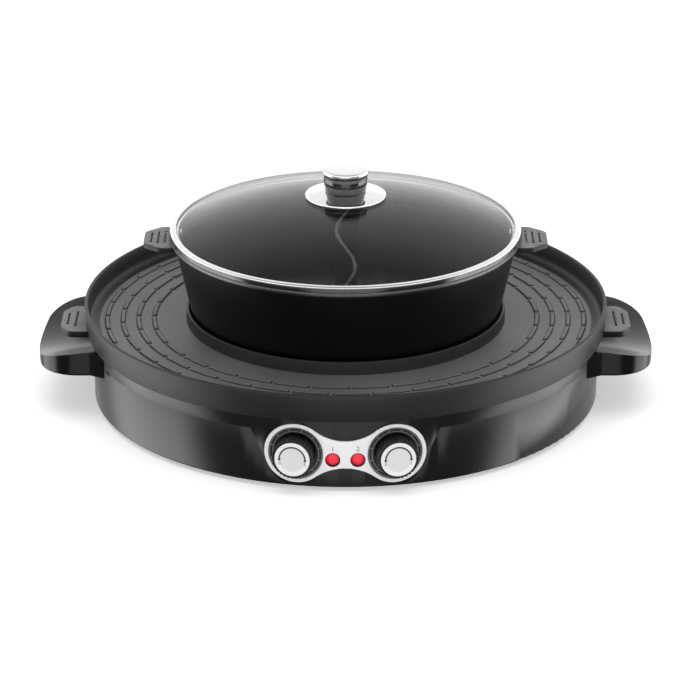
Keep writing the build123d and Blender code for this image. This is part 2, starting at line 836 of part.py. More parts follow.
reflector.part.label = "reflector"
export_step(reflector.part, "parts/reflector.step")

# Well: a sheet cup under the pot, hung from the reflector by its flange
well_top = reflector_floor
well_hole_radius = plate_radius * well_hole_share
with BuildPart() as heat_well:
    with BuildSketch(Plane.XZ):
        with BuildLine():
            Polyline(
                (well_radius + well_flange, well_top),
                (well_radius, well_top),
                (well_radius, well_floor),
                (well_hole_radius, well_floor),
                (well_hole_radius, well_floor - sheet_thickness),
                (well_radius + sheet_thickness, well_floor - sheet_thickness),
                (well_radius + sheet_thickness, well_top - sheet_thickness),
                (well_radius + well_flange, well_top - sheet_thickness),
                close=True,
            )
        make_face()
    revolve(axis=Axis.Z)
    with BuildSketch(Plane.XY.offset(well_floor - overrun)):
        with PolarLocations(well_radius + well_flange - well_screw_inset, well_screw_count):
            Circle(small_screw_radius)
        with PolarLocations(plate_leg_circle, plate_leg_count, start_angle=90):
            Circle(small_screw_radius)
    extrude(amount=well_top - well_floor + 2 * overrun, mode=Mode.SUBTRACT)
heat_well.part.label = "heat_well"
export_step(heat_well.part, "parts/heat_well.step")

# Small screws that join well and reflector
with BuildPart() as well_screws:
    with BuildSketch(Plane.XY.offset(reflector_top)):
        with PolarLocations(well_radius + well_flange - well_screw_inset, well_screw_count):
            Circle(small_screw_radius)
    extrude(amount=-2 * sheet_thickness - well_screw_depth)
    with BuildSketch(Plane.XY.offset(reflector_top)):
        with PolarLocations(well_radius + well_flange - well_screw_inset, well_screw_count):
            Circle(small_head_radius)
    extrude(amount=small_head_height)
well_screws.part.label = "well_screws"
export_step(well_screws.part, "parts/well_screws.step")

# Heating plate of the hot pot: a cast disc with its element cast in as a ring bulge, on three legs
plate_underside = pot_bottom_height - plate_thickness
with BuildPart() as hotpot_heater_plate:
    with BuildSketch(Plane.XY.offset(plate_underside)):
        Circle(plate_radius)
    extrude(amount=plate_thickness)
    fillet(hotpot_heater_plate.edges().group_by(Axis.Z)[-1], radius=plate_thickness / 8)
    with BuildSketch(Plane.XZ):
        with Locations((plate_bulge_circle, plate_underside)):
            Circle(plate_bulge_radius)
    revolve(axis=Axis.Z)
    with BuildSketch(Plane.XY.offset(well_floor)):
        with PolarLocations(plate_leg_circle, plate_leg_count, start_angle=90):
            Circle(plate_leg_radius)
    extrude(amount=plate_underside - well_floor)
    with BuildSketch(Plane.XY.offset(well_floor)):
        with PolarLocations(plate_leg_circle, plate_leg_count, start_angle=90):
            Circle(small_screw_radius)
    extrude(amount=plate_screw_depth, mode=Mode.SUBTRACT)
hotpot_heater_plate.part.label = "hotpot_heater_plate"
export_step(hotpot_heater_plate.part, "parts/hotpot_heater_plate.step")

# Screws from below into the legs of the heating plate
with BuildPart() as plate_screws:
    with BuildSketch(Plane.XY.offset(well_floor - sheet_thickness)):
        with PolarLocations(plate_leg_circle, plate_leg_count, start_angle=90):
            Circle(small_screw_radius)
    extrude(amount=sheet_thickness + plate_screw_depth - small_screw_radius)
    with BuildSketch(Plane.XY.offset(well_floor - sheet_thickness)):
        with PolarLocations(plate_leg_circle, plate_leg_count, start_angle=90):
            Circle(small_head_radius)
    extrude(amount=-small_head_height)
plate_screws.part.label = "plate_screws"
export_step(plate_screws.part, "parts/plate_screws.step")

# Tubular heater of the grill: an open ring close under the pan, with both ends turned down
with BuildPart() as grill_heater:
    with BuildSketch(Plane.XZ.rotated((0, 0, heater_leg_angles[1]))):
        with Locations((heater_circle, heater_height)):
            Circle(heater_tube_radius)
    revolve(axis=Axis.Z, revolution_arc=360 - heater_opening)
    for leg_angle in heater_leg_angles:
        leg_x = heater_circle * cos(radians(leg_angle))
        leg_y = heater_circle * sin(radians(leg_angle))
        with Locations((leg_x, leg_y, heater_height)):
            Sphere(heater_tube_radius + heater_elbow_swell)
        with BuildSketch(Plane.XY.offset(heater_height)):
            with Locations((leg_x, leg_y)):
                Circle(heater_tube_radius)
        extrude(amount=-heater_leg)
grill_heater.part.label = "grill_heater"
export_step(grill_heater.part, "parts/grill_heater.step")

# Sheet clips that carry the heater ring on the reflector
with BuildPart() as heater_clips:
    with BuildSketch(Plane.XY.offset(reflector_top)):
        with PolarLocations(heater_circle, clip_count, start_angle=180 / clip_count):
            Rectangle(clip_share * (ledge_inner - well_radius), clip_width)
    extrude(amount=heater_height - reflector_top)
    with BuildSketch(Plane.XZ):
        with Locations((heater_circle, heater_height)):
            Circle(heater_tube_radius)
    revolve(axis=Axis.Z, mode=Mode.SUBTRACT)
heater_clips.part.label = "heater_clips"
export_step(heater_clips.part, "parts/heater_clips.step")

# Ceramic insulators where the heater ends pass the reflector
with BuildPart() as heater_insulators:
    with BuildSketch(Plane.XY.offset(reflector_floor - insulator_drop)):
        for leg_angle in heater_leg_angles:
            with PolarLocations(heater_circle, 1, start_angle=leg_angle):
                Circle(heater_tube_radius + insulator_wall)
                Circle(heater_tube_radius, mode=Mode.SUBTRACT)
    extrude(amount=insulator_drop + sheet_thickness + insulator_rise)
heater_insulators.part.label = "heater_insulators"
export_step(heater_insulators.part, "parts/heater_insulators.step")

# Power inlet at the back: a flanged socket body with an open recess
inlet_screw_places = ((-inlet_screw_half_pitch, inlet_height), (inlet_screw_half_pitch, inlet_height))
inlet_pin_places = (
    (-pin_spacing, inlet_height),
    (0, inlet_height + earth_pin_raise),
    (pin_spacing, inlet_height),
)
with BuildPart() as power_inlet:
    with BuildSketch(Plane.XZ.offset(-base_radius)):
        with Locations((0, inlet_height)):
            RectangleRounded(inlet_flange_width, inlet_flange_rise, inlet_round)
    extrude(amount=-inlet_flange_plate)
    with BuildSketch(Plane.XZ.offset(-base_radius)):
        with Locations((0, inlet_height)):
            Rectangle(inlet_width, inlet_rise)
    extrude(amount=inlet_depth)
    with BuildSketch(Plane.XZ.offset(-base_radius - inlet_flange_plate)):
        with Locations((0, inlet_height)):
            RectangleRounded(inlet_width - 2 * inlet_wall, inlet_rise - 2 * inlet_wall, inlet_round)
    extrude(amount=inlet_recess_depth, mode=Mode.SUBTRACT)
    with BuildSketch(Plane.XZ.offset(-base_radius - inlet_flange_plate)):
        with Locations(*inlet_screw_places):
            Circle(small_screw_radius)
    extrude(amount=inlet_flange_plate + overrun, mode=Mode.SUBTRACT)
    with BuildSketch(Plane.XZ.offset(-base_radius)):
        with Locations(*inlet_pin_places):
            Rectangle(pin_width, pin_rise)
    extrude(amount=inlet_depth, mode=Mode.SUBTRACT)
power_inlet.part.label = "power_inlet"
export_step(power_inlet.part, "parts/power_inlet.step")

# Three contact pins, with their solder tails inside the case
recess_floor = base_radius + inlet_flange_plate - inlet_recess_depth
inlet_back = base_radius - inlet_depth
with BuildPart() as inlet_pins:
    with BuildSketch(Plane.XZ.offset(-recess_floor - pin_length)):
        with Locations(*inlet_pin_places):
            Rectangle(pin_width, pin_rise)
    extrude(amount=recess_floor + pin_length - inlet_back + pin_tail)
inlet_pins.part.label = "inlet_pins"
export_step(inlet_pins.part, "parts/inlet_pins.step")

# Screws of the inlet flange
with BuildPart() as inlet_screws:
    with BuildSketch(Plane.XZ.offset(-base_radius - inlet_flange_plate)):
        with Locations(*inlet_screw_places):
            Circle(small_screw_radius)
    extrude(amount=inlet_flange_plate + inlet_screw_depth)
    with BuildSketch(Plane.XZ.offset(-base_radius - inlet_flange_plate)):
        with Locations(*inlet_screw_places):
            Circle(small_head_radius)
    extrude(amount=-small_head_height)
inlet_screws.part.label = "inlet_screws"
export_step(inlet_screws.part, "parts/inlet_screws.step")

# Ceramic terminal block on the bottom cover, where all the wires meet
block_bottom = cover_bottom + cover_thickness
block_top = inlet_height - block_drop
block_rise = block_top - block_bottom
with BuildPart() as terminal_block:
    with BuildSketch(Plane.XY.offset(block_bottom)):
        with Locations((0, block_distance)):
            Rectangle(block_width, block_depth)
    extrude(amount=block_rise)
    with BuildSketch(Plane.XY.offset(block_bottom)):
        with Locations((0, block_distance)):
            Circle(small_screw_radius)
    extrude(amount=block_rise / 2, mode=Mode.SUBTRACT)
terminal_block.part.label = "terminal_block"
export_step(terminal_block.part, "parts/terminal_block.step")

with BuildPart() as block_screw:
    with BuildSketch(Plane.XY.offset(cover_bottom)):
        with Locations((0, block_distance)):
            Circle(small_screw_radius)
    extrude(amount=cover_thickness + block_rise / 2 - small_screw_radius)
    with BuildSketch(Plane.XY.offset(cover_bottom)):
        with Locations((0, block_distance)):
            Circle(small_head_radius)
    extrude(amount=-small_head_height)
block_screw.part.label = "block_screw"
export_step(block_screw.part, "parts/block_screw.step")

# Thermal fuses clipped under the floor of the well
with BuildPart() as thermal_fuses:
    for side in (-1, 1):
        fuse_height = well_floor - sheet_thickness - fuse_radius
        with BuildSketch(Plane.YZ.offset(side * fuse_offset - fuse_length / 2)):
            with Locations((plate_bulge_circle, fuse_height)):
                Circle(fuse_radius)
        extrude(amount=fuse_length)
thermal_fuses.part.label = "thermal_fuses"
export_step(thermal_fuses.part, "parts/thermal_fuses.step")


def wire_along(points, radii):
    """One insulated wire along a route with rounded bends."""
    with BuildPart() as wire:
        with BuildLine():
            route = FilletPolyline(*points, radius=radii)
        with BuildSketch(Plane(origin=route @ 0, z_dir=route % 0)):
            Circle(wire_radius)
        sweep()
    return wire.part


# Wires: the inlet pins to the block, the block to both thermostats, the block to the heater ends
wires = []
for place, lead_height in inlet_pin_places:
    lead_start = (place, inlet_back - pin_tail, lead_height)
    lead = [lead_start, (place, block_distance, lead_height), (place, block_distance, block_top)]
    wires.append(wire_along(lead, [wire_bend]))
for side in (-1, 1):
    turn = radians(dial_angle)
    tab_end = thermostat_back - tab_length
    tab_tip = (
        side * (tab_end * sin(turn) + tab_spread * cos(turn)),
        -tab_end * cos(turn) + tab_spread * sin(turn),
    )
    block_side = side * (block_width / 2 - block_way_inset)
    # The feed rises from the block, follows the well round the case and turns out to the tab
    feed = [(block_side, block_distance, block_top), (block_side, block_distance, wire_height)]
    for heading in wire_headings:
        away = radians(heading)
        feed.append((side * wire_circle * cos(away), wire_circle * sin(away), wire_height))
    before_tab = (tab_tip[0] - side * wire_lead * sin(turn), tab_tip[1] + wire_lead * cos(turn))
    feed.append((*before_tab, dial_height))
    feed.append((*tab_tip, dial_height))
    wires.append(wire_along(feed, [wire_bend] + [wire_sweep_bend] * len(wire_headings) + [wire_bend]))
with BuildPart() as wiring:
    for wire in wires:
        add(wire)
    with BuildSketch(Plane.XY.offset(block_top)):
        for leg_angle in heater_leg_angles:
            with PolarLocations(heater_circle, 1, start_angle=leg_angle):
                Circle(wire_radius)
    extrude(amount=heater_height - heater_leg - block_top)
wiring.part.label = "wiring"
export_step(wiring.part, "parts/wiring.step")

# Grill pan: skirt, upright wall, cove, floor with rings of ridges, and the collar of the middle hole
wall_at_crease = rim_radius - pan_crease_inset
cove_start = wall_at_crease - pan_cove_width
with BuildPart() as grill_pan:
    with BuildSketch(Plane.XZ):
        with BuildLine():
            Polyline(
                (skirt_outer, skirt_bottom),
                (rim_radius, pan_rim),
                (rim_radius - pan_rim_wall, pan_rim),
                (wall_at_crease, pan_floor + pan_crease_height),
                (cove_start, pan_floor),
                (collar_inner + collar_wall, pan_floor),
                (collar_inner + collar_wall, collar_top),
                (collar_inner, collar_top),
                (collar_inner, seat_height),
                (skirt_inner, seat_height),
                (skirt_inner, skirt_bottom),
                close=True,
            )
        make_face()
    revolve(axis=Axis.Z)
    round_edges = grill_pan.edges().filter_by(GeomType.CIRCLE).group_by(Axis.Z)
    fillet(round_edges[-1], radius=pan_rim_round)
    collar_edges = grill_pan.edges().filter_by(GeomType.CIRCLE).filter_by_position(
        Axis.Z, collar_top, collar_top
    )
    fillet(collar_edges, radius=pan_rim_round)
    # Ridges: arcs of raised bars in rings, with a gap between one bar and the next
    with BuildSketch(Plane.XY.offset(pan_floor)):
        # The largest ring comes first, because opening a ring clears all that lies inside it
        trough_start = collar_inner + collar_wall
        ridge_circles = [trough_start + share * (cove_start - trough_start) for share in ridge_shares]
        for ridge_circle in ridge_circles:
            Circle(ridge_circle + ridge_width / 2)
            Circle(ridge_circle - ridge_width / 2, mode=Mode.SUBTRACT)
        for ridge_circle in ridge_circles:
            bar_count = round(2 * pi * ridge_circle / ridge_pitch)
            with PolarLocations(ridge_circle, bar_count):
                Rectangle(2 * ridge_width, ridge_gap, mode=Mode.SUBTRACT)
    extrude(amount=ridge_height)
    # A flat tab on each side carries the grip
    with BuildSketch(Plane.XY.offset(skirt_bottom - pan_tab_thickness / 2)):
        Rectangle(2 * (skirt_outer + pan_tab_length), 2 * pan_tab_half_width)
        Circle(skirt_inner, mode=Mode.SUBTRACT)
    extrude(amount=pan_tab_thickness)
    with BuildSketch(Plane.XY.offset(skirt_bottom - pan_tab_thickness / 2)):
        for side in (-1, 1):
            with Locations((side * (skirt_outer + pan_tab_length / 2), 0)):
                with GridLocations(0, pan_tab_half_width, 1, 2):
                    Circle(small_screw_radius)
    extrude(amount=pan_tab_thickness, mode=Mode.SUBTRACT)
grill_pan.part.label = "grill_pan"
export_step(grill_pan.part, "parts/grill_pan.step")

# Grips of the grill pan: flat moulded grips over the tabs, grooved on top
ear_top = skirt_bottom + pan_ear_rise + pan_tab_thickness / 2
ear_bottom = ear_top - pan_ear_thickness
ear_root = skirt_outer + pan_flare_width * (ear_top - skirt_bottom) / (pan_rim - skirt_bottom)
pan_ear_plan = grip_plan(
    skirt_inner,
    skirt_outer + pan_ear_reach - skirt_inner,
    pan_ear_half_root,
    pan_ear_half_tip,
    skirt_outer + pan_ear_straight - skirt_inner,
    pan_ear_round,
)
with BuildPart() as pan_ear_right:
    with BuildSketch(Plane.XY.offset(ear_bottom)):
        add(pan_ear_plan)
        Circle(ear_root, mode=Mode.SUBTRACT)
    extrude(amount=pan_ear_thickness)
    top_edges = pan_ear_right.edges().group_by(Axis.Z)[-1].filter_by_position(Axis.X, ear_root, 2 * ear_root)
    fillet(top_edges, radius=pan_ear_thickness / 6)
    with BuildSketch(Plane.XY.offset(ear_top)):
        for groove_place, groove_length in pan_ear_grooves:
            with Locations((skirt_outer + groove_place, 0)):
                SlotOverall(groove_length, pan_ear_groove_width, rotation=90)
    extrude(amount=-pan_ear_groove_depth, mode=Mode.SUBTRACT)
    # A round dimple ends each groove at the front
    with BuildSketch(Plane.XY.offset(ear_top)):
        for groove_place, groove_length in pan_ear_grooves:
            with Locations((skirt_outer + groove_place, -groove_length / 2)):
                Circle(ear_dimple_radius)
    extrude(amount=-ear_dimple_depth, mode=Mode.SUBTRACT)
    with BuildSketch(Plane.XY.offset(skirt_bottom - pan_tab_thickness / 2)):
        Rectangle(2 * (skirt_outer + pan_tab_length), 2 * pan_tab_half_width)
    extrude(amount=pan_tab_thickness, mode=Mode.SUBTRACT)
    with BuildSketch(Plane.XY.offset(ear_bottom)):
        with Locations((skirt_outer + pan_tab_length / 2, 0)):
            with GridLocations(0, pan_tab_half_width, 1, 2):
                Circle(small_screw_radius)
    extrude(amount=skirt_bottom - ear_bottom, mode=Mode.SUBTRACT)
pan_ear_right.part.label = "pan_ear_right"
export_step(pan_ear_right.part, "parts/pan_ear_right.step")

with BuildPart() as pan_ear_left:
    mirror(pan_ear_right.part, about=Plane.YZ)
pan_ear_left.part.label = "pan_ear_left"
export_step(pan_ear_left.part, "parts/pan_ear_left.step")

# Screws from below through grip and tab
with BuildPart() as pan_ear_screws:
    for side in (-1, 1):
        with BuildSketch(Plane.XY.offset(ear_bottom)):
            with Locations((side * (skirt_outer + pan_tab_length / 2), 0)):
                with GridLocations(0, pan_tab_half_width, 1, 2):
                    Circle(small_screw_radius)
        extrude(amount=skirt_bottom - ear_bottom + pan_tab_thickness / 2)
        with BuildSketch(Plane.XY.offset(ear_bottom)):
            with Locations((side * (skirt_outer + pan_tab_length / 2), 0)):
                with GridLocations(0, pan_tab_half_width, 1, 2):
                    Circle(small_head_radius)
        extrude(amount=-small_head_height)
pan_ear_screws.part.label = "pan_ear_screws"
export_step(pan_ear_screws.part, "parts/pan_ear_screws.step")

# Room inside the hot pot, which also trims the divider
with BuildPart() as pot_cavity:
    with BuildSketch(Plane.XZ) as cavity_profile:
        with BuildLine():
            Polyline(
                (0, pot_floor),
                (pot_base_radius + pot_slope * pot_wall - pot_wall, pot_floor),
                (pot_mouth_radius - pot_wall, pot_rim),
                (0, pot_rim),
                close=True,
            )
        make_face()
        lower_corner = cavity_profile.vertices().group_by(Axis.Y)[0].sort_by(Axis.X)[-1]
        fillet(lower_corner, radius=pot_corner - pot_wall)
    revolve(axis=Axis.Z)

# Shell of the hot pot: drawn in towards the bottom, with a large round corner and a flat rim flange
with BuildPart() as pot_shell:
    with BuildSketch(Plane.XZ) as pot_profile:
        with BuildLine():
            Polyline(
                (0, pot_bottom_height),
                (pot_base_radius, pot_bottom_height),
                (pot_mouth_radius, pot_rim),
                (0, pot_rim),
                close=True,
            )
        make_face()
        lower_corner = pot_profile.vertices().group_by(Axis.Y)[0].sort_by(Axis.X)[-1]
        fillet(lower_corner, radius=pot_corner)
    revolve(axis=Axis.Z)
    with BuildSketch(Plane.XY.offset(pot_rim)):
        Circle(flange_radius)
    extrude(amount=-pot_flange_height)
    flange_edges = pot_shell.edges().filter_by(GeomType.CIRCLE).filter_by(
        lambda edge: abs(edge.radius - flange_radius) < pot_flange_round
    )
    fillet(flange_edges, radius=pot_flange_round)
    add(pot_cavity.part, mode=Mode.SUBTRACT)
    for side in (-1, 1):
        with BuildSketch(Plane.YZ.offset(side * (pot_mouth_radius - overrun))):
            with Locations(
                (-rivet_half_pitch, pot_rim - pot_ear_drop - pot_ear_thickness / 2),
                (rivet_half_pitch, pot_rim - pot_ear_drop - pot_ear_thickness / 2),
            ):
                Circle(rivet_radius)
        extrude(amount=side * 2 * overrun, mode=Mode.SUBTRACT)
pot_shell.part.label = "pot_shell"
export_step(pot_shell.part, "parts/pot_shell.step")

# S-shaped divider, which ends below the rim and follows the wall and the corner of the pot
divider_top = pot_rim - divider_clearance
with BuildPart() as pot_divider:
    with BuildSketch(Plane.XY.offset(pot_floor)):
        middle = [(x * pot_mouth_radius, y * pot_mouth_radius) for x, y in divider_shares]
        one_side = [(x - divider_wall / 2, y) for x, y in middle]
        other_side = [(x + divider_wall / 2, y) for x, y in reversed(middle)]
        with BuildLine():
            Spline(*one_side)
            Line(one_side[-1], other_side[0])
            Spline(*other_side)
            Line(other_side[-1], one_side[0])
        make_face()
    extrude(amount=divider_top - pot_floor)
    add(pot_cavity.part, mode=Mode.INTERSECT)
pot_divider.part.label = "pot_divider"
export_step(pot_divider.part, "parts/pot_divider.step")

# Grips of the hot pot, riveted to the wall just under the rim
pot_ear_top = pot_rim - pot_ear_drop
pot_ear_root = pot_mouth_radius - pot_slope * pot_ear_drop
rivet_height = pot_ear_top - pot_ear_thickness / 2
rivet_wall = pot_mouth_radius - pot_wall - pot_slope * (pot_rim - rivet_height + rivet_head_radius)
rivet_face = sqrt(rivet_wall**2 - (rivet_half_pitch + rivet_head_radius) ** 2)
pot_ear_plan = grip_plan(
    pot_base_radius - overrun,
    pot_ear_root + pot_ear_reach - pot_base_radius + overrun,
    pot_ear_half_root,
    pot_ear_half_tip,
    pot_ear_root + pot_ear_straight - pot_base_radius + overrun,
    pot_ear_round,
)
with BuildPart() as pot_ear_right:
    with BuildSketch(Plane.XY.offset(pot_ear_top)):
        add(pot_ear_plan)
        Circle(pot_ear_root, mode=Mode.SUBTRACT)
    extrude(amount=-pot_ear_thickness)
    outside_edges = pot_ear_right.edges().filter_by_position(Axis.X, pot_ear_root, 2 * pot_ear_root)
    fillet(outside_edges.group_by(Axis.Z)[-1], radius=pot_ear_thickness / 5)
    with BuildSketch(Plane.XY.offset(pot_ear_top)):
        for groove_place, groove_length in pot_ear_grooves:
            with Locations((pot_ear_root + groove_place, 0)):
                SlotOverall(groove_length, pot_ear_groove_width, rotation=90)
    extrude(amount=-pot_ear_groove_depth, mode=Mode.SUBTRACT)
    with BuildSketch(Plane.XY.offset(pot_ear_top)):
        for groove_place, groove_length in pot_ear_grooves:
            with Locations((pot_ear_root + groove_place, -groove_length / 2)):
                Circle(ear_dimple_radius)
    extrude(amount=-ear_dimple_depth, mode=Mode.SUBTRACT)
    with BuildSketch(Plane.YZ.offset(pot_ear_root - overrun)):
        with Locations((-rivet_half_pitch, rivet_height), (rivet_half_pitch, rivet_height)):
            Circle(rivet_radius)
    extrude(amount=overrun + rivet_depth, mode=Mode.SUBTRACT)
pot_ear_right.part.label = "pot_ear_right"
export_step(pot_ear_right.part, "parts/pot_ear_right.step")

with BuildPart() as pot_ear_left:
    mirror(pot_ear_right.part, about=Plane.YZ)
pot_ear_left.part.label = "pot_ear_left"
export_step(pot_ear_left.part, "parts/pot_ear_left.step")

# Rivets of the pot grips, with their heads inside the pot
with BuildPart() as pot_rivets:
    for side in (-1, 1):
        rivet_line = side_plane(side, rivet_face, 0, rivet_height)
        with BuildSketch(rivet_line):
            with GridLocations(2 * rivet_half_pitch, 0, 2, 1):
                Circle(rivet_radius)
        extrude(amount=pot_ear_root + rivet_depth - rivet_face)
        with BuildSketch(rivet_line):
            with GridLocations(2 * rivet_half_pitch, 0, 2, 1):
                Circle(rivet_head_radius)
        extrude(amount=-rivet_head_height)
pot_rivets.part.label = "pot_rivets"
export_step(pot_rivets.part, "parts/pot_rivets.step")

# Domed glass of the lid, cut from a spherical bowl, with a hole for the knob screw
lid_outer = flange_radius - lid_side_gap
glass_radius = lid_outer - lid_ring_width + glass_tuck
glass_foot = pot_rim + lid_ring_base
glass_inner = (glass_radius**2 + glass_rise**2) / (2 * glass_rise)
glass_under = glass_foot + glass_rise
glass_centre = glass_under - glass_inner
with BuildPart() as lid_glass:
    with Locations((0, 0, glass_centre)):
        Sphere(glass_inner + glass_thickness)
        Sphere(glass_inner, mode=Mode.SUBTRACT)
    with BuildSketch(Plane.XY.offset(glass_foot)):
        Circle(glass_radius)
        Circle(glass_hole_radius, mode=Mode.SUBTRACT)
    extrude(amount=glass_rise + 2 * glass_thickness, mode=Mode.INTERSECT)
lid_glass.part.label = "lid_glass"
export_step(lid_glass.part, "parts/lid_glass.step")

# Bright rim of the lid: a rolled band over the edge of the glass, with a lip that drops into the pot
lip_outer = pot_mouth_radius - pot_wall - lid_lip_gap - pot_slope * lid_lip_depth
with BuildPart() as lid_ring:
    with BuildSketch(Plane.XZ):
        with BuildLine():
            Polyline(
                (lid_outer, pot_rim),
                (lid_outer, pot_rim + lid_ring_height),
                (lid_outer - lid_ring_width, pot_rim + lid_ring_height),
                (lid_outer - lid_ring_width, glass_foot),
                (lip_outer - lid_lip_wall, glass_foot),
                (lip_outer - lid_lip_wall, pot_rim - lid_lip_depth),
                (lip_outer, pot_rim - lid_lip_depth),
                (lip_outer, pot_rim),
                close=True,
            )
        make_face()
    revolve(axis=Axis.Z)
    crown_edges = lid_ring.edges().filter_by(GeomType.CIRCLE).group_by(Axis.Z)[-1]
    fillet(crown_edges, radius=lid_ring_height / 4)
    add(lid_glass.part, mode=Mode.SUBTRACT)
lid_ring.part.label = "lid_ring"
export_step(lid_ring.part, "parts/lid_ring.step")

# Saucer-shaped flange under the knob
flange_foot = glass_centre + sqrt((glass_inner + glass_thickness) ** 2 - lid_flange_radius**2)
saucer_top = flange_foot + lid_flange_thickness + lid_flange_rise
with BuildPart() as lid_flange:
    with BuildSketch(Plane.XZ):
        with BuildLine():
            Polyline(
                (lid_screw_radius, flange_foot),
                (lid_flange_radius, flange_foot),
                (lid_flange_radius, flange_foot + lid_flange_thickness),
                (lid_knob_foot_radius + lid_flange_thickness, saucer_top),
                (lid_screw_radius, saucer_top),
                close=True,
            )
        make_face()
    revolve(axis=Axis.Z)
    with Locations((0, 0, glass_centre)):
        Sphere(glass_inner + glass_thickness, mode=Mode.SUBTRACT)
lid_flange.part.label = "lid_flange"
export_step(lid_flange.part, "parts/lid_flange.step")

# Turned knob of the lid: a barrel that widens upwards, a groove and a disc on top
knob_groove_height = saucer_top + lid_knob_height - lid_knob_disc_height
with BuildPart() as lid_knob:
    with BuildSketch(Plane.XZ):
        with BuildLine():
            waist_height = (saucer_top + knob_groove_height) / 2
            Polyline(
                (0, saucer_top),
                (lid_knob_foot_radius, saucer_top),
                (lid_knob_waist_radius, waist_height),
                (lid_knob_waist_radius, knob_groove_height),
                (lid_knob_waist_radius - lid_knob_groove, knob_groove_height),
                (lid_knob_waist_radius - lid_knob_groove, knob_groove_height + lid_knob_groove),
                (lid_knob_disc_radius, knob_groove_height + 2 * lid_knob_groove),
                (lid_knob_disc_radius, saucer_top + lid_knob_height - lid_knob_crown),
                (lid_knob_waist_radius, saucer_top + lid_knob_height),
                (0, saucer_top + lid_knob_height),
                close=True,
            )
        make_face()
    revolve(axis=Axis.Z)
    with BuildSketch(Plane.XY.offset(saucer_top)):
        Circle(lid_screw_radius)
    extrude(amount=lid_screw_grip, mode=Mode.SUBTRACT)
lid_knob.part.label = "lid_knob"
export_step(lid_knob.part, "parts/lid_knob.step")

# Sealing washer under the glass
with BuildPart() as lid_washer:
    with BuildSketch(Plane.XY.offset(glass_under - washer_height)):
        Circle(washer_radius)
        Circle(lid_screw_radius, mode=Mode.SUBTRACT)
    extrude(amount=washer_height)
    with Locations((0, 0, glass_centre)):
        Sphere(glass_inner - washer_fit, mode=Mode.INTERSECT)
lid_washer.part.label = "lid_washer"
export_step(lid_washer.part, "parts/lid_washer.step")

# Screw from below that clamps washer, glass, flange and knob
with BuildPart() as lid_screw:
    with BuildSketch(Plane.XY.offset(glass_under - washer_height)):
        Circle(lid_screw_radius)
    extrude(amount=saucer_top + lid_screw_grip - lid_screw_radius - glass_under + washer_height)
    with BuildSketch(Plane.XY.offset(glass_under - washer_height)):
        Circle(lid_screw_head_radius)
        Rectangle(2 * lid_screw_head_radius, lid_screw_head_radius / 4, mode=Mode.SUBTRACT)
    extrude(amount=-lid_screw_head_height)
lid_screw.part.label = "lid_screw"
export_step(lid_screw.part, "parts/lid_screw.step")
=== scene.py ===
import bpy
from math import asin, atan2, cos, hypot, pi, radians, sin, sqrt
from mathutils import Matrix, Vector


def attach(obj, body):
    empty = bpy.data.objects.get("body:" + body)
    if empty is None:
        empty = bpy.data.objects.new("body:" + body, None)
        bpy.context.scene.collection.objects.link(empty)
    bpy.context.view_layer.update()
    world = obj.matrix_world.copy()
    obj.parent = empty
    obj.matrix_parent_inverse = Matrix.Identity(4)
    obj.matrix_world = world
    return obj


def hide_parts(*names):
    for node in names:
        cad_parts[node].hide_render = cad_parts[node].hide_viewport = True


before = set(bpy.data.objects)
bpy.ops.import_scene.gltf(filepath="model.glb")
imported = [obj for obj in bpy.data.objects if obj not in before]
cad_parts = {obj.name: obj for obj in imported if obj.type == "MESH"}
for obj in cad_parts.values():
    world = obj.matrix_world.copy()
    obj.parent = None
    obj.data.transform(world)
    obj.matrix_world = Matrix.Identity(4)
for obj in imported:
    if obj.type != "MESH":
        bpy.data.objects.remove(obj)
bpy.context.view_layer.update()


# Case of the base: a drum of injection moulded black plastic, 2.5 mm thick, closed by a top ring that
# carries the pan. The ring comes down in front as the apron of the control panel. Both have softened
# edges, so the joint between them shows as a fine line.
def tone(level):
    """A grey as the eye reads it, 0 to 255, as the shader's linear value"""
    return (level / 255) ** 2.2


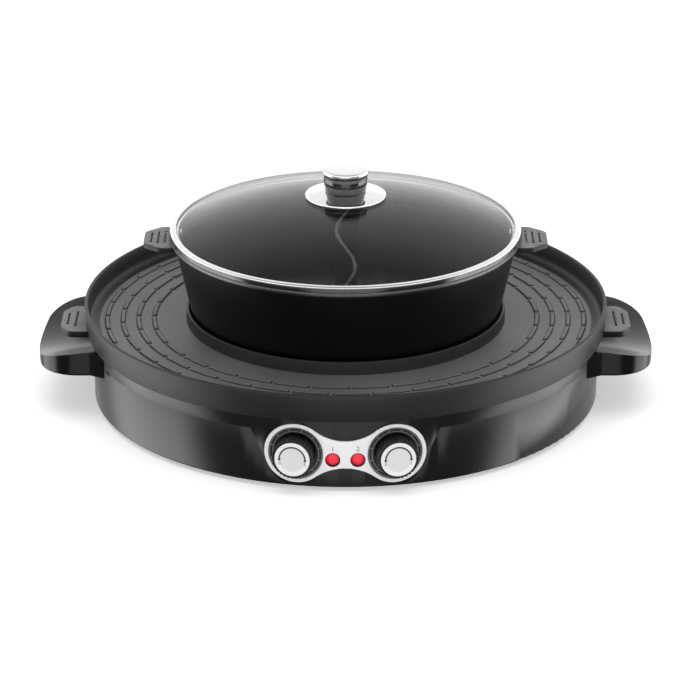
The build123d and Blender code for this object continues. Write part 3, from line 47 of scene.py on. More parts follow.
def finish(name, dark, light, roughness, grain, depth, metallic=0.0, patch=9.0, spread=0.06):
    """A procedural finish: fine grain over broad soft patches, uneven gloss and a shallow texture"""
    material = bpy.data.materials.new(name)
    material.use_nodes = True
    nodes = material.node_tree.nodes
    links = material.node_tree.links
    shader = nodes["Principled BSDF"]
    shader.inputs["Metallic"].default_value = metallic
    place = nodes.new("ShaderNodeTexCoord")
    fine = nodes.new("ShaderNodeTexNoise")
    fine.inputs["Scale"].default_value = grain
    fine.inputs["Detail"].default_value = 3.0
    broad = nodes.new("ShaderNodeTexNoise")
    broad.inputs["Scale"].default_value = patch
    broad.inputs["Detail"].default_value = 4.0
    both = nodes.new("ShaderNodeMix")
    both.data_type = "FLOAT"
    both.inputs["Factor"].default_value = 0.35
    ramp = nodes.new("ShaderNodeValToRGB")
    ramp.color_ramp.elements[0].position = 0.38
    ramp.color_ramp.elements[0].color = (*dark, 1.0)
    ramp.color_ramp.elements[1].position = 0.62
    ramp.color_ramp.elements[1].color = (*light, 1.0)
    gloss = nodes.new("ShaderNodeMapRange")
    gloss.inputs["To Min"].default_value = roughness - spread
    gloss.inputs["To Max"].default_value = roughness + spread
    bump = nodes.new("ShaderNodeBump")
    bump.inputs["Strength"].default_value = 1.0
    bump.inputs["Distance"].default_value = depth
    links.new(place.outputs["Object"], fine.inputs["Vector"])
    links.new(place.outputs["Object"], broad.inputs["Vector"])
    links.new(fine.outputs["Fac"], both.inputs["A"])
    links.new(broad.outputs["Fac"], both.inputs["B"])
    links.new(both.outputs["Result"], ramp.inputs["Fac"])
    links.new(ramp.outputs["Color"], shader.inputs["Base Color"])
    links.new(broad.outputs["Fac"], gloss.inputs["Value"])
    links.new(gloss.outputs["Result"], shader.inputs["Roughness"])
    links.new(fine.outputs["Fac"], bump.inputs["Height"])
    links.new(bump.outputs["Normal"], shader.inputs["Normal"])
    return material


def grey(level):
    return (tone(level),) * 3


def paint(piece, material):
    """Gives every face of a piece one finish"""
    piece.data.materials.clear()
    piece.data.materials.append(material)


def paint_cad(node, material):
    """Gives a CAD node a finish in its own material slots"""
    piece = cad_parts[node]
    if not piece.material_slots:
        piece.data.materials.append(material)
    for place in piece.material_slots:
        place.material = material


def hold(piece):
    """Makes a piece the only one selected, and the active one"""
    bpy.ops.object.select_all(action="DESELECT")
    piece.select_set(True)
    bpy.context.view_layer.objects.active = piece


def soften(piece, width, segments=2, limit=30.0):
    """Rounds the sharp edges of a piece and smooths its curved faces"""
    hold(piece)
    if width > 0:
        edge = piece.modifiers.new("edge", "BEVEL")
        edge.width = width
        edge.segments = segments
        edge.limit_method = "ANGLE"
        edge.angle_limit = radians(limit)
        bpy.ops.object.modifier_apply(modifier="edge")
    bpy.ops.object.shade_smooth_by_angle(angle=radians(limit))


# In the copy of a CAD mesh, points this close are one, and faces this near to flat are merged
same_point = 0.000002
same_plane = radians(0.3)


def moulding(node, name, width, segments=2, limit=30.0):
    """A moulded copy of a CAD node, its triangles merged and its edges softened"""
    piece = bpy.data.objects.new(name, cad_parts[node].data.copy())
    bpy.context.scene.collection.objects.link(piece)
    hold(piece)
    bpy.ops.object.mode_set(mode="EDIT")
    bpy.ops.mesh.select_mode(type="VERT")
    bpy.ops.mesh.select_all(action="SELECT")
    bpy.ops.mesh.remove_doubles(threshold=same_point)
    bpy.ops.mesh.dissolve_limited(angle_limit=same_plane)
    bpy.ops.object.mode_set(mode="OBJECT")
    soften(piece, width, segments, limit)
    return piece


def seat(piece, material, slot, body, *nodes):
    """Finishes a new piece: its material, the body it rides on and the nodes it stands for; slot is not
    used
    """
    if material:
        paint(piece, material)
    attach(piece, body)
    if nodes:
        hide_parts(*nodes)


case_edge = 0.0005
case_black = finish("case_black_gloss", grey(17), grey(23), 0.24, 900.0, 0.000003, spread=0.03)
for node, name in (("base_drum", "case_drum"), ("top_ring", "case_top_ring")):
    seat(moulding(node, name, case_edge), case_black, "case_plastic", "base", node)


# Bottom cover: a 1.2 mm steel disc with vents, powder coated matt black, held by six zinc plated
# screws that go up into the posts of the top ring. Four rubber feet are pushed through it.
paint_cad("bottom_cover", finish("cover_powder_coat", grey(34), grey(44), 0.62, 1400.0, 0.00003))
paint_cad("feet", finish("foot_rubber", grey(24), grey(34), 0.8, 700.0, 0.00002))
zinc = finish("zinc_plate", grey(172), grey(196), 0.32, 1200.0, 0.000004, metallic=1.0, patch=60.0)
for node in ("case_screws", "handle_screws"):
    paint_cad(node, zinc)


# Lug handles: two rounded lugs of black plastic, moulded with a shallow trough on top for the thumb
# and a recess underneath for the fingers. Each is held by two screws from inside the drum.
lug_edge = 0.0022
handle_black = finish("handle_black", grey(12), grey(18), 0.16, 900.0, 0.000003, spread=0.03)
handle_black.node_tree.nodes["Principled BSDF"].inputs["Specular IOR Level"].default_value = 0.34
for side in ("left", "right"):
    lug = moulding(f"handle_{side}", f"lug_{side}", lug_edge, 4)
    seat(lug, handle_black, "case_plastic", "base", f"handle_{side}")


# Fascia: a thin bright plate in the shape of an eight on its side, curved like the drum and glued
# to the apron. A plain 1 and 2 stand over the lamps.
apron_radius = 0.194
panel_radius = 0.1954
lamp_turn = asin(0.009 / apron_radius)
lamp_number_reach = panel_radius + 0.00003
lamp_number_height = 0.0326
lamp_number_size = 0.0052
ink_rise = 0.00004


def face_panel(piece, turn, distance, height):
    """Turns a piece modelled on the upright axis so that it points straight out of the case"""
    hold(piece)
    piece.rotation_euler = (pi / 2, 0.0, turn)
    piece.location = (distance * sin(turn), -distance * cos(turn), height)
    bpy.ops.object.transform_apply(location=True, rotation=True, scale=True)


def numeral(digit, size, place=(0, 0, 0)):
    """A thin raised numeral that faces up, centred across its place"""
    bpy.ops.object.select_all(action="DESELECT")
    bpy.ops.object.text_add(location=place)
    piece = bpy.context.object
    piece.data.body = digit
    piece.data.size = size
    piece.data.extrude = ink_rise
    piece.data.align_x = "CENTER"
    bpy.ops.object.convert(target="MESH")
    bpy.ops.object.transform_apply(location=True)
    return piece


fascia = moulding("control_fascia", "fascia_plate", 0.00045, 3)
fascia_white = finish("fascia_satin_white", grey(244), grey(249), 0.3, 800.0, 0.000002, spread=0.04)
seat(fascia, fascia_white, "fascia_silver", "base", "control_fascia")
numeral_ink = finish("numeral_ink", grey(96), grey(110), 0.5, 900.0, 0.000002)
for digit, side in (("1", -1), ("2", 1)):
    lamp_number = numeral(digit, lamp_number_size)
    lamp_number.name = f"lamp_numeral_{digit}"
    face_panel(lamp_number, side * lamp_turn, lamp_number_reach, lamp_number_height)
    seat(lamp_number, numeral_ink, "fascia_silver", "base")


# Dials: a flat grey ring round each knob, curved like the apron under it. A dark band is printed on
# it, split by light ticks every 30 degrees, with a thin light circle inside.
dial_turn = asin(0.0357 / apron_radius)
dial_height = 0.0295
band_radius = 0.0181
band_half_width = 0.00085
tick_half_pitch = 15
tick_edge = 13.6
inner_radius = 0.01655


def math_node(tree, operation, first, second=None):
    """One step of arithmetic in a material; numbers go in its sockets and outputs are linked"""
    step = tree.nodes.new("ShaderNodeMath")
    step.operation = operation
    for place, value in enumerate((first, second)):
        if value is None:
            continue
        if isinstance(value, (int, float)):
            step.inputs[place].default_value = value
        else:
            tree.links.new(value, step.inputs[place])
    return step.outputs[0]


def dial_print(name, turn):
    """The finish of one dial, with its print laid out round the knob axis"""
    material = finish(name, grey(104), grey(118), 0.42, 900.0, 0.000003)
    tree = material.node_tree
    place = tree.nodes["Texture Coordinate"]
    centre = tree.nodes.new("ShaderNodeMapping")
    centre.vector_type = "TEXTURE"
    centre.inputs["Location"].default_value = (
        apron_radius * sin(turn), -apron_radius * cos(turn), dial_height)
    centre.inputs["Rotation"].default_value = (0.0, 0.0, turn)
    split = tree.nodes.new("ShaderNodeSeparateXYZ")
    tree.links.new(place.outputs["Object"], centre.inputs["Vector"])
    tree.links.new(centre.outputs["Vector"], split.inputs["Vector"])
    across, up = split.outputs["X"], split.outputs["Z"]
    radius = math_node(tree, "SQRT", math_node(
        tree, "ADD", math_node(tree, "MULTIPLY", across, across), math_node(tree, "MULTIPLY", up, up)))
    angle = math_node(tree, "ARCTAN2", up, across)
    band = math_node(tree, "LESS_THAN", math_node(tree, "ABSOLUTE", math_node(
        tree, "SUBTRACT", radius, band_radius)), band_half_width)
    step = math_node(tree, "PINGPONG", math_node(tree, "ADD", angle, pi), radians(tick_half_pitch))
    tick = math_node(tree, "GREATER_THAN", step, radians(tick_edge))
    inner = math_node(tree, "LESS_THAN", radius, inner_radius)
    dark = math_node(tree, "MAXIMUM", math_node(tree, "SUBTRACT", band, math_node(
        tree, "MULTIPLY", band, tick)), inner)
    printed = tree.nodes.new("ShaderNodeMix")
    printed.data_type = "RGBA"
    printed.inputs["B"].default_value = (*grey(30), 1.0)
    shader = tree.nodes["Principled BSDF"]
    ground = shader.inputs["Base Color"].links[0].from_socket
    tree.links.new(dark, printed.inputs["Factor"])
    tree.links.new(ground, printed.inputs["A"])
    tree.links.new(printed.outputs["Result"], shader.inputs["Base Color"])
    return material


for name, side in (("left", -1), ("right", 1)):
    paint_cad(f"dial_ring_{name}", dial_print(f"dial_print_{name}", side * dial_turn))


# Knobs: a fluted barrel of black plastic, hollow at the back, with a satin silver cap pressed in.
# The cap has a raised rim and a printed arc with a dot and a numeral at both ends, for low and high.
def turned(name, profile, steps=192):
    """A piece turned round the upright axis from its section, given as (radius, height) points"""
    bpy.ops.object.select_all(action="DESELECT")
    bpy.ops.mesh.primitive_plane_add(size=0.001, location=(0, 0, 0))
    piece = bpy.context.object
    piece.name = name
    bpy.ops.object.mode_set(mode="EDIT")
    bpy.ops.mesh.select_mode(type="VERT")
    bpy.ops.mesh.select_all(action="SELECT")
    bpy.ops.mesh.merge(type="CENTER")
    bpy.ops.transform.translate(value=(profile[0][0], 0, profile[0][1]))
    for before, after in zip(profile, profile[1:]):
        step = (after[0] - before[0], 0, after[1] - before[1])
        bpy.ops.mesh.extrude_region_move(TRANSFORM_OT_translate={"value": step})
    bpy.ops.mesh.select_all(action="SELECT")
    bpy.ops.mesh.spin(steps=steps, angle=2 * pi, center=(0, 0, 0), axis=(0, 0, 1))
    bpy.ops.mesh.select_all(action="SELECT")
    bpy.ops.mesh.remove_doubles(threshold=0.000001)
    bpy.ops.mesh.normals_make_consistent(inside=False)
    bpy.ops.object.mode_set(mode="OBJECT")
    return piece


def pick(piece, test):
    """Selects the faces of a piece whose centre passes a test, in face mode"""
    bpy.ops.object.mode_set(mode="EDIT")
    bpy.ops.mesh.select_mode(type="FACE")
    bpy.ops.mesh.select_all(action="DESELECT")
    bpy.ops.object.mode_set(mode="OBJECT")
    for face in piece.data.polygons:
        face.select = test(face)
    bpy.ops.object.mode_set(mode="EDIT")


def second_finish(piece, material, test):
    """Gives another finish to the faces of a painted piece that pass a test"""
    piece.data.materials.append(material)
    for face in piece.data.polygons:
        if test(face):
            face.material_index = 1


def off_axis(point):
    """How far a point lies from the upright axis"""
    return hypot(point.x, point.y)


def swept_bar(reach, height, size, turn, steps, squeeze=1.0, lift=0.0):
    """A square section at a reach and height, squeezed and lifted, swept round the upright axis"""
    centre = (reach, 0, height)
    bpy.ops.object.select_all(action="DESELECT")
    bpy.ops.mesh.primitive_plane_add(size=size, location=centre)
    bar = bpy.context.object
    bpy.ops.object.transform_apply(location=True)
    # The plane is stood on its edge as the section of the bar
    bpy.ops.object.mode_set(mode="EDIT")
    bpy.ops.mesh.select_mode(type="VERT")
    bpy.ops.mesh.select_all(action="SELECT")
    bpy.ops.transform.rotate(value=pi / 2, orient_axis="X", center_override=centre)
    bpy.ops.transform.resize(value=(1.0, 1.0, squeeze), center_override=centre)
    bpy.ops.transform.translate(value=(0, 0, lift))
    bpy.ops.mesh.spin(steps=steps, angle=turn, center=(0, 0, 0), axis=(0, 0, 1))
    bpy.ops.mesh.select_all(action="SELECT")
    bpy.ops.mesh.normals_make_consistent(inside=False)
    bpy.ops.object.mode_set(mode="OBJECT")
    return bar


def join_all(pieces):
    """Joins pieces into the first of them"""
    hold(pieces[0])
    for piece in pieces:
        piece.select_set(True)
    bpy.ops.object.join()


knob_radius = 0.0150
knob_back = 0.1961
knob_length = 0.0106
knob_wall = 0.0022
bore_depth = 0.0048
cap_radius = 0.0128
cap_sink = 0.0008
middle_radius = 0.0094
flute_count = 30
# How deep the barrel is cut at each sixth of a flute
flute_depths = {0: 0.00062, 1: 0.00045, 5: 0.00045}
arc_radius = 0.0094
arc_height = 0.01103
arc_width = 0.0011
dot_radius = 0.00095
cap_number_size = 0.0032
knob_black = finish("knob_black", grey(14), grey(20), 0.4, 1200.0, 0.000006)
cap_silver = finish("cap_satin_silver", grey(240), grey(248), 0.34, 1500.0, 0.000002)
cap_middle = finish("cap_satin_middle", grey(222), grey(230), 0.4, 1500.0, 0.000002)
cap_ink = finish("cap_ink", grey(46), grey(58), 0.5, 1200.0, 0.000002)
for name, side in (("left", -1), ("right", 1)):
    bpy.ops.object.select_all(action="DESELECT")
    bpy.ops.mesh.primitive_cylinder_add(
        vertices=6 * flute_count, radius=knob_radius, depth=knob_length,
        location=(0, 0, knob_length / 2))
    barrel = bpy.context.object
    barrel.name = f"knob_barrel_{name}"
    bpy.ops.object.transform_apply(location=True)
    pick(barrel, lambda face: face.normal.z < -0.9)
    bpy.ops.mesh.inset(thickness=knob_wall)
    bpy.ops.mesh.extrude_region_move(TRANSFORM_OT_translate={"value": (0, 0, bore_depth)})
    pick(barrel, lambda face: face.normal.z > 0.9 and face.center.z > knob_length - 0.0001)
    bpy.ops.mesh.inset(thickness=knob_radius - cap_radius)
    bpy.ops.mesh.extrude_region_move(TRANSFORM_OT_translate={"value": (0, 0, -cap_sink)})
    bpy.ops.object.mode_set(mode="OBJECT")
    for corner in barrel.data.vertices:
        across = off_axis(corner.co)
        if across > knob_radius - 0.0001:
            sixth = round(atan2(corner.co.y, corner.co.x) / (pi / 3 / flute_count)) % 6
            shrink = (knob_radius - flute_depths.get(sixth, 0.0)) / across
            corner.co.x *= shrink
            corner.co.y *= shrink
    soften(barrel, 0.00025, 2, 40.0)
    face_panel(barrel, side * dial_turn, knob_back, dial_height)
    seat(barrel, knob_black, "knob_black", f"knob_{name}", f"knob_{name}")
    cap_profile = (
        (0.0, 0.0098), (cap_radius, 0.0098), (cap_radius, 0.0112), (0.0126, 0.0114), (0.0112, 0.0114),
        (0.0108, 0.0110), (middle_radius, 0.01099), (0.0, 0.01096))
    cap = turned(f"knob_cap_disc_{name}", cap_profile, 96)
    soften(cap, 0.00012, 2, 25.0)
    paint(cap, cap_silver)
    second_finish(cap, cap_middle, lambda face: off_axis(face.center) < middle_radius)
    face_panel(cap, side * dial_turn, knob_back, dial_height)
    seat(cap, None, "knob_silver", f"knob_{name}", f"knob_cap_{name}")
    # The arc runs over the top from the left to the right, with a dot and a numeral at each end
    arc = swept_bar(-arc_radius, arc_height, arc_width, pi, 40, squeeze=0.1)
    arc.name = f"cap_arc_{name}"
    marks = [arc]
    for end, digit in ((-1, "0"), (1, "5")):
        bpy.ops.object.select_all(action="DESELECT")
        bpy.ops.mesh.primitive_cylinder_add(
            vertices=24, radius=dot_radius, depth=2 * ink_rise,
            location=(end * arc_radius, -0.0003, arc_height))
        dot = bpy.context.object
        bpy.ops.object.transform_apply(location=True)
        soften(dot, 0.00001, 1, 40.0)
        marks.append(dot)
        marks.append(numeral(digit, cap_number_size, (end * 0.0092, -0.0043, 0.01099)))
    join_all(marks)
    face_panel(arc, side * dial_turn, knob_back, dial_height)
    seat(arc, cap_ink, "knob_black", f"knob_{name}")
    paint_cad(f"knob_shaft_{name}", zinc)


# Pilot lamps: red tinted lenses 9.6 mm across, domed and sunk a little in black bezels, with a neon
# lamp behind each. Bezels and lenses snap into the apron.
lens_back = 0.1913
lens_height = 0.0255
lens_material = finish("lens_red", (0.72, 0.012, 0.035), (0.86, 0.03, 0.06), 0.12, 400.0, 0.000002)
lens_shader = lens_material.node_tree.nodes["Principled BSDF"]
# The lens glows faintly red, painted light, though no lamp behind it is lit
lens_shader.inputs["Emission Color"].default_value = (0.9, 0.02, 0.05, 1.0)
lens_shader.inputs["Emission Strength"].default_value = 0.3
for name, side in (("left", -1), ("right", 1)):
    lens_profile = (
        (0.0, -0.0018), (0.0066, -0.0018), (0.0066, -0.0007), (0.0048, -0.0007), (0.0048, 0.0020),
        (0.0042, 0.00235), (0.0030, 0.00262), (0.0015, 0.00278), (0.0, 0.00282))
    lens = turned(f"lamp_lens_{name}", lens_profile, 64)
    soften(lens, 0.0, 1, 40.0)
    face_panel(lens, side * lamp_turn, lens_back, lens_height)
    seat(lens, lens_material, "lens_red", "base", f"indicator_lens_{name}")
bezels = moulding("lamp_bezels", "lamp_bezel_rings", 0.00025)
seat(bezels, finish("bezel_black", grey(20), grey(28), 0.4, 1200.0, 0.000004), "bezel_black", "base",
     "lamp_bezels")
paint_cad("neon_lamps", finish(
    "neon_glass", (0.75, 0.42, 0.25), (0.85, 0.52, 0.32), 0.15, 300.0, 0.000002))


# Thermostats behind the knobs: round steel bodies on brackets, clamped to the apron by a threaded
# bushing and a hexagon nut. Their shafts carry the knobs.
bare_steel = finish("bare_steel", grey(150), grey(182), 0.4, 500.0, 0.00001, metallic=1.0, patch=40.0)
for side in ("left", "right"):
    paint_cad(f"thermostat_{side}", bare_steel)
    paint_cad(f"thermostat_nut_{side}", zinc)


# Heat parts: a bright reflector dish rests on the ledge of the top ring and carries the well of the
# pot. The cast heating plate stands in the well, the tubular ring heater lies close under the pan.
def brushed(name, dark, light, roughness, rings):
    """Sheet metal with fine turning marks round the upright axis"""
    material = finish(name, dark, light, roughness, 700.0, 0.000003, metallic=1.0, patch=25.0)
    tree = material.node_tree
    lines = tree.nodes.new("ShaderNodeTexWave")
    lines.wave_type = "RINGS"
    lines.rings_direction = "Z"
    lines.inputs["Scale"].default_value = rings
    lines.inputs["Distortion"].default_value = 0.6
    lines.inputs["Detail"].default_value = 2.0
    tree.links.new(tree.nodes["Texture Coordinate"].outputs["Object"], lines.inputs["Vector"])
    tree.links.new(lines.outputs["Fac"], tree.nodes["Bump"].inputs["Height"])
    return material


sheet_bright = brushed("reflector_bright", grey(196), grey(214), 0.26, 260.0)
paint_cad("reflector", sheet_bright)
paint_cad("heat_well", sheet_bright)
paint_cad("hotpot_heater_plate", brushed("plate_cast", grey(160), grey(178), 0.45, 340.0))
paint_cad("grill_heater", finish(
    "heater_oxide", (0.05, 0.045, 0.05), (0.11, 0.095, 0.09), 0.55, 260.0, 0.00002,
    metallic=0.8, patch=30.0))
for node in ("well_screws", "plate_screws", "heater_clips"):
    paint_cad(node, zinc)
ceramic = finish("ceramic_unglazed", grey(222), grey(234), 0.6, 1500.0, 0.00002)
paint_cad("heater_insulators", ceramic)


# Mains side: a flanged inlet socket at the back with three brass pins, wires in white sleeves to a
# ceramic terminal block, and thermal fuses clipped under the well.
paint_cad("terminal_block", ceramic)
paint_cad("power_inlet", finish("inlet_plastic", grey(30), grey(38), 0.5, 1300.0, 0.00001))
brass = finish(
    "contact_brass", (0.5, 0.33, 0.1), (0.62, 0.43, 0.15), 0.3, 500.0, 0.000004, metallic=1.0)
paint_cad("inlet_pins", brass)
paint_cad("thermal_fuses", brass)
paint_cad("wiring", finish("wire_sleeve", grey(206), grey(222), 0.65, 900.0, 0.00001))
for node in ("inlet_screws", "block_screw"):
    paint_cad(node, zinc)


# Grill pan: a cast aluminium ring with a dark speckled non-stick coating. A skirt hangs over the
# case, the floor has rings of raised bars, and a collar round the hole keeps fat off the pot.
coat_dark = finish("pan_coating", grey(36), grey(48), 0.42, 1500.0, 0.00003, metallic=0.25, spread=0.08)
collar_radius = 0.12237
floor_radius = 0.1886
floor_height = 0.0615
pan_profile = (
    (0.1980, 0.0560), (0.1996, 0.0722), (0.2000, 0.0760), (0.1998, 0.0766), (0.1994, 0.0768),
    (0.1982, 0.0768), (0.1977, 0.0766), (0.1974, 0.0761), (0.1969, 0.0680), (0.1966, 0.0646),
    (0.1959, 0.0632), (0.1944, 0.0621), (0.1922, 0.0616),
    (floor_radius, floor_height), (collar_radius, floor_height),
    (collar_radius, 0.0708), (0.12217, 0.0713), (0.1217, 0.0715), (0.1205, 0.0715), (0.12007, 0.0713),
    (0.11987, 0.0708), (0.11987, 0.0590), (0.1952, 0.0590), (0.1952, 0.0560), (0.1980, 0.0560))
pan = turned("grill_pan_casting", pan_profile, 256)
soften(pan, 0.0003, 2, 50.0)
paint(pan, coat_dark)
# The up-facing floor and the bars take a lighter copy of the coating, which is painted sheen
floor_painted_sheen = finish(
    "pan_floor_coating_painted_sheen", grey(86), grey(122), 0.46, 1500.0, 0.00003, metallic=0.2, spread=0.08)
second_finish(pan, floor_painted_sheen, lambda face: (
    face.normal.z > 0.9 and 0.123 < off_axis(face.center) < 0.1895 and face.center.z < 0.0617))
# The black of the painted shadow round the foot of each bar
painted_shadow_black = finish("bar_painted_shadow", grey(20), grey(30), 0.6, 1500.0, 0.00002)
bar_width = 0.0026
bar_pitch = 0.029
bar_gap = 0.004
shadow_margin = 0.0008
ring_shares = (0.915, 0.734, 0.553, 0.372)
pan_pieces = [pan]
for ring, share in enumerate(ring_shares):
    ring_radius = collar_radius + share * (floor_radius - collar_radius)
    bar_count = round(2 * pi * ring_radius / bar_pitch)
    gap_turn = bar_gap / ring_radius
    margin_turn = shadow_margin / ring_radius
    bar_turn = 2 * pi / bar_count - gap_turn
    bar = swept_bar(ring_radius, floor_height, bar_width, bar_turn, 6, lift=-0.0001)
    soften(bar, 0.0005, 2, 50.0)
    paint(bar, floor_painted_sheen)
    # A thin black sheet, 0.8 mm wide, lies round the foot of each bar as painted shadow
    shadow_sheet = swept_bar(
        ring_radius, floor_height, bar_width + 2 * shadow_margin, bar_turn + 2 * margin_turn, 6,
        squeeze=0.03)
    soften(shadow_sheet, 0.00003, 1, 50.0)
    paint(shadow_sheet, painted_shadow_black)
    shadow_sheet.data.transform(Matrix.Rotation(margin_turn, 4, "Z"))
    for count in range(bar_count):
        for pattern in (bar, shadow_sheet):
            twin = bpy.data.objects.new(f"grill_bar_{ring}_{count}", pattern.data.copy())
            bpy.context.scene.collection.objects.link(twin)
            twin.data.transform(Matrix.Rotation(count * 2 * pi / bar_count + gap_turn / 2, 4, "Z"))
            pan_pieces.append(twin)
    bpy.data.objects.remove(bar)
    bpy.data.objects.remove(shadow_sheet)
# Two flat tabs on the skirt carry the grips
tab_reach = 0.2032
tab_height = 0.0560
tab_size = (0.0154, 0.036, 0.0020)
for side in (-1, 1):
    bpy.ops.object.select_all(action="DESELECT")
    bpy.ops.mesh.primitive_cube_add(size=1.0, location=(side * tab_reach, 0, tab_height))
    tab = bpy.context.object
    tab.scale = tab_size
    bpy.ops.object.transform_apply(location=True, scale=True)
    soften(tab, 0.0003)
    paint(tab, coat_dark)
    pan_pieces.append(tab)
join_all(pan_pieces)
seat(pan, None, "pan_coating", "grill_pan", "grill_pan")


# Grips of the pan: flat grey moulded grips over the tabs, with two grooves across that end in a
# round dimple, screwed from below.
grip_grey = finish("grip_speckled_grey", grey(88), grey(136), 0.55, 1500.0, 0.00003, patch=40.0)
# This black is painted shade on the grips' sides, undersides and grooves
grip_painted_shade = finish("grip_painted_shade_black", grey(20), grey(32), 0.5, 1200.0, 0.00001)


def grip_with_painted_shade(vessel, side, body):
    """A moulded grip, grey on top, with painted shade: black on its sides, underneath and in the grooves
    """
    grip = moulding(f"{vessel}_ear_{side}", f"{vessel}_grip_{side}", 0.0004, 2, 35.0)
    top = max(corner.co.z for corner in grip.data.vertices)
    paint(grip, grip_grey)
    second_finish(grip, grip_painted_shade, lambda face: face.normal.z < 0.55 or face.center.z < top - 0.0003)
    seat(grip, None, "grip_grey", body, f"{vessel}_ear_{side}")


for side in ("left", "right"):
    grip_with_painted_shade("pan", side, "grill_pan")
paint_cad("pan_ear_screws", zinc)


# Hot pot: a drawn aluminium pot that narrows a little towards its rounded bottom, with a flat rim. It
# is coated black but for the edge of the rim. An S-shaped wall divides it in two.
pot_black = finish("pot_coating", grey(8), grey(13), 0.4, 1500.0, 0.000004, spread=0.06)
pot_black.node_tree.nodes["Principled BSDF"].inputs["Specular IOR Level"].default_value = 0.25
wall_lean = radians(78.2)
bend_steps = 8


def bend_point(foot, bottom, bend, step):
    """A point on the bend between the floor and the wall, from step 0 at the floor"""
    turn = wall_lean * step / bend_steps
    return foot + bend * sin(turn), bottom + bend * (1 - cos(turn))


pot_bottom = 0.0410
pot_floor = 0.0435
pot_profile = [(0.0, pot_bottom)]
pot_profile += [bend_point(0.09462, pot_bottom, 0.0220, step) for step in range(bend_steps + 1)]
pot_profile += [
    (0.13073, 0.1262), (0.1332, 0.1262), (0.1337, 0.1264), (0.1340, 0.1270), (0.1340, 0.1291),
    (0.1337, 0.1297), (0.1332, 0.1299), (0.12903, 0.1299)]
pot_profile += [bend_point(0.09467, pot_floor, 0.0195, step) for step in range(bend_steps, -1, -1)]
pot_profile.append((0.0, pot_floor))
pot = turned("pot_drawn_shell", pot_profile, 224)
soften(pot, 0.0, 1, 35.0)
paint(pot, pot_black)
rim_bare = finish("pot_rim_bare", grey(84), grey(100), 0.3, 900.0, 0.000004, metallic=1.0)
second_finish(pot, rim_bare, lambda face: (
    off_axis(face.center) > 0.1325 and face.center.z > 0.1261 and face.normal.z > -0.8))
seat(pot, None, "pot_coating", "hot_pot", "pot_shell")
divider_wall = moulding("pot_divider", "pot_divider_wall", 0.0006, 2, 40.0)
seat(divider_wall, pot_black, "pot_coating", "hot_pot", "pot_divider")


# Grips of the pot: flat grey moulded grips just under the rim, with three grooves, each riveted to
# the wall by two aluminium rivets.
for side in ("left", "right"):
    grip_with_painted_shade("pot", side, "hot_pot")
paint_cad("pot_rivets", finish(
    "rivet_satin", grey(190), grey(206), 0.35, 900.0, 0.000003, metallic=1.0))


# Lid: a dome of clear tempered glass in a rolled stainless steel rim. A saucer and a turned knob,
# both polished, are clamped through the middle by a screw with a silicone washer under the glass.
glass_material = bpy.data.materials.new("lid_clear_glass")
glass_material.use_nodes = True
glass_tree = glass_material.node_tree
glass_shader = glass_tree.nodes["Principled BSDF"]
glass_shader.inputs["Base Color"].default_value = (0.93, 0.95, 0.955, 1.0)
glass_shader.inputs["Transmission Weight"].default_value = 1.0
glass_shader.inputs["IOR"].default_value = 1.2
glass_place = glass_tree.nodes.new("ShaderNodeTexCoord")
glass_wave = glass_tree.nodes.new("ShaderNodeTexNoise")
glass_wave.inputs["Scale"].default_value = 18.0
glass_gloss = glass_tree.nodes.new("ShaderNodeMapRange")
glass_gloss.inputs["To Min"].default_value = 0.0
glass_gloss.inputs["To Max"].default_value = 0.008
glass_tree.links.new(glass_place.outputs["Object"], glass_wave.inputs["Vector"])
glass_tree.links.new(glass_wave.outputs["Fac"], glass_gloss.inputs["Value"])
glass_tree.links.new(glass_gloss.outputs["Result"], glass_shader.inputs["Roughness"])
dome_centre = -0.17442
dome_inner, dome_outer = 0.33142, 0.33442
dome_bore, dome_edge = 0.004, 0.1300
dome_steps = 24


def on_sphere(radius, reach):
    """How high a sphere of the dome stands at a reach from the upright axis"""
    return dome_centre + sqrt(radius ** 2 - reach ** 2)


dome_reaches = [
    dome_bore + (dome_edge - dome_bore) * step / dome_steps for step in range(dome_steps + 1)]
dome_profile = [(reach, on_sphere(dome_inner, reach)) for reach in dome_reaches]
dome_profile += [(reach, on_sphere(dome_outer, reach)) for reach in reversed(dome_reaches)]
dome_profile.append(dome_profile[0])
dome = turned("lid_glass_dome", dome_profile, 192)
soften(dome, 0.0, 1, 50.0)
seat(dome, glass_material, "lid_glass", "lid", "lid_glass")
chrome = finish(
    "lid_polished_steel", grey(236), grey(243), 0.07, 300.0, 0.0000006, metallic=1.0, spread=0.02)
ring_profile = (
    (0.1337, 0.13002), (0.1337, 0.1335), (0.1334, 0.1342), (0.1327, 0.1346), (0.1302, 0.1347),
    (0.1295, 0.1346), (0.1291, 0.1343), (0.1289, 0.1337), (0.1289, 0.1335), (0.13005, 0.1335),
    (0.13005, 0.1304), (0.12648, 0.1304), (0.12648, 0.1273), (0.12768, 0.1273), (0.12768, 0.12992),
    (0.1337, 0.12992))
rim = turned("lid_rim_ring", ring_profile, 224)
soften(rim, 0.00025, 2, 45.0)
# The upright sides of rim and knob are the same steel painted darker than the polished tops, a painted
# dark reflection
steel_painted_dark_reflection = finish(
    "lid_steel_painted_dark_reflection", grey(84), grey(94), 0.1, 300.0, 0.0000006, metallic=1.0, spread=0.02)
paint(rim, chrome)
second_finish(rim, steel_painted_dark_reflection, lambda face: face.normal.z < 0.35)
seat(rim, None, "lid_chrome", "lid", "lid_ring")
saucer_profile = [(0.003, 0.16276), (0.0170, 0.16276), (0.0173, 0.16270), (0.0205, 0.16196),
                  (0.0270, 0.16066), (0.0300, 0.16011), (0.0306, 0.15996), (0.0308, 0.15966),
                  (0.0308, 0.15881), (0.0306, 0.15864)]
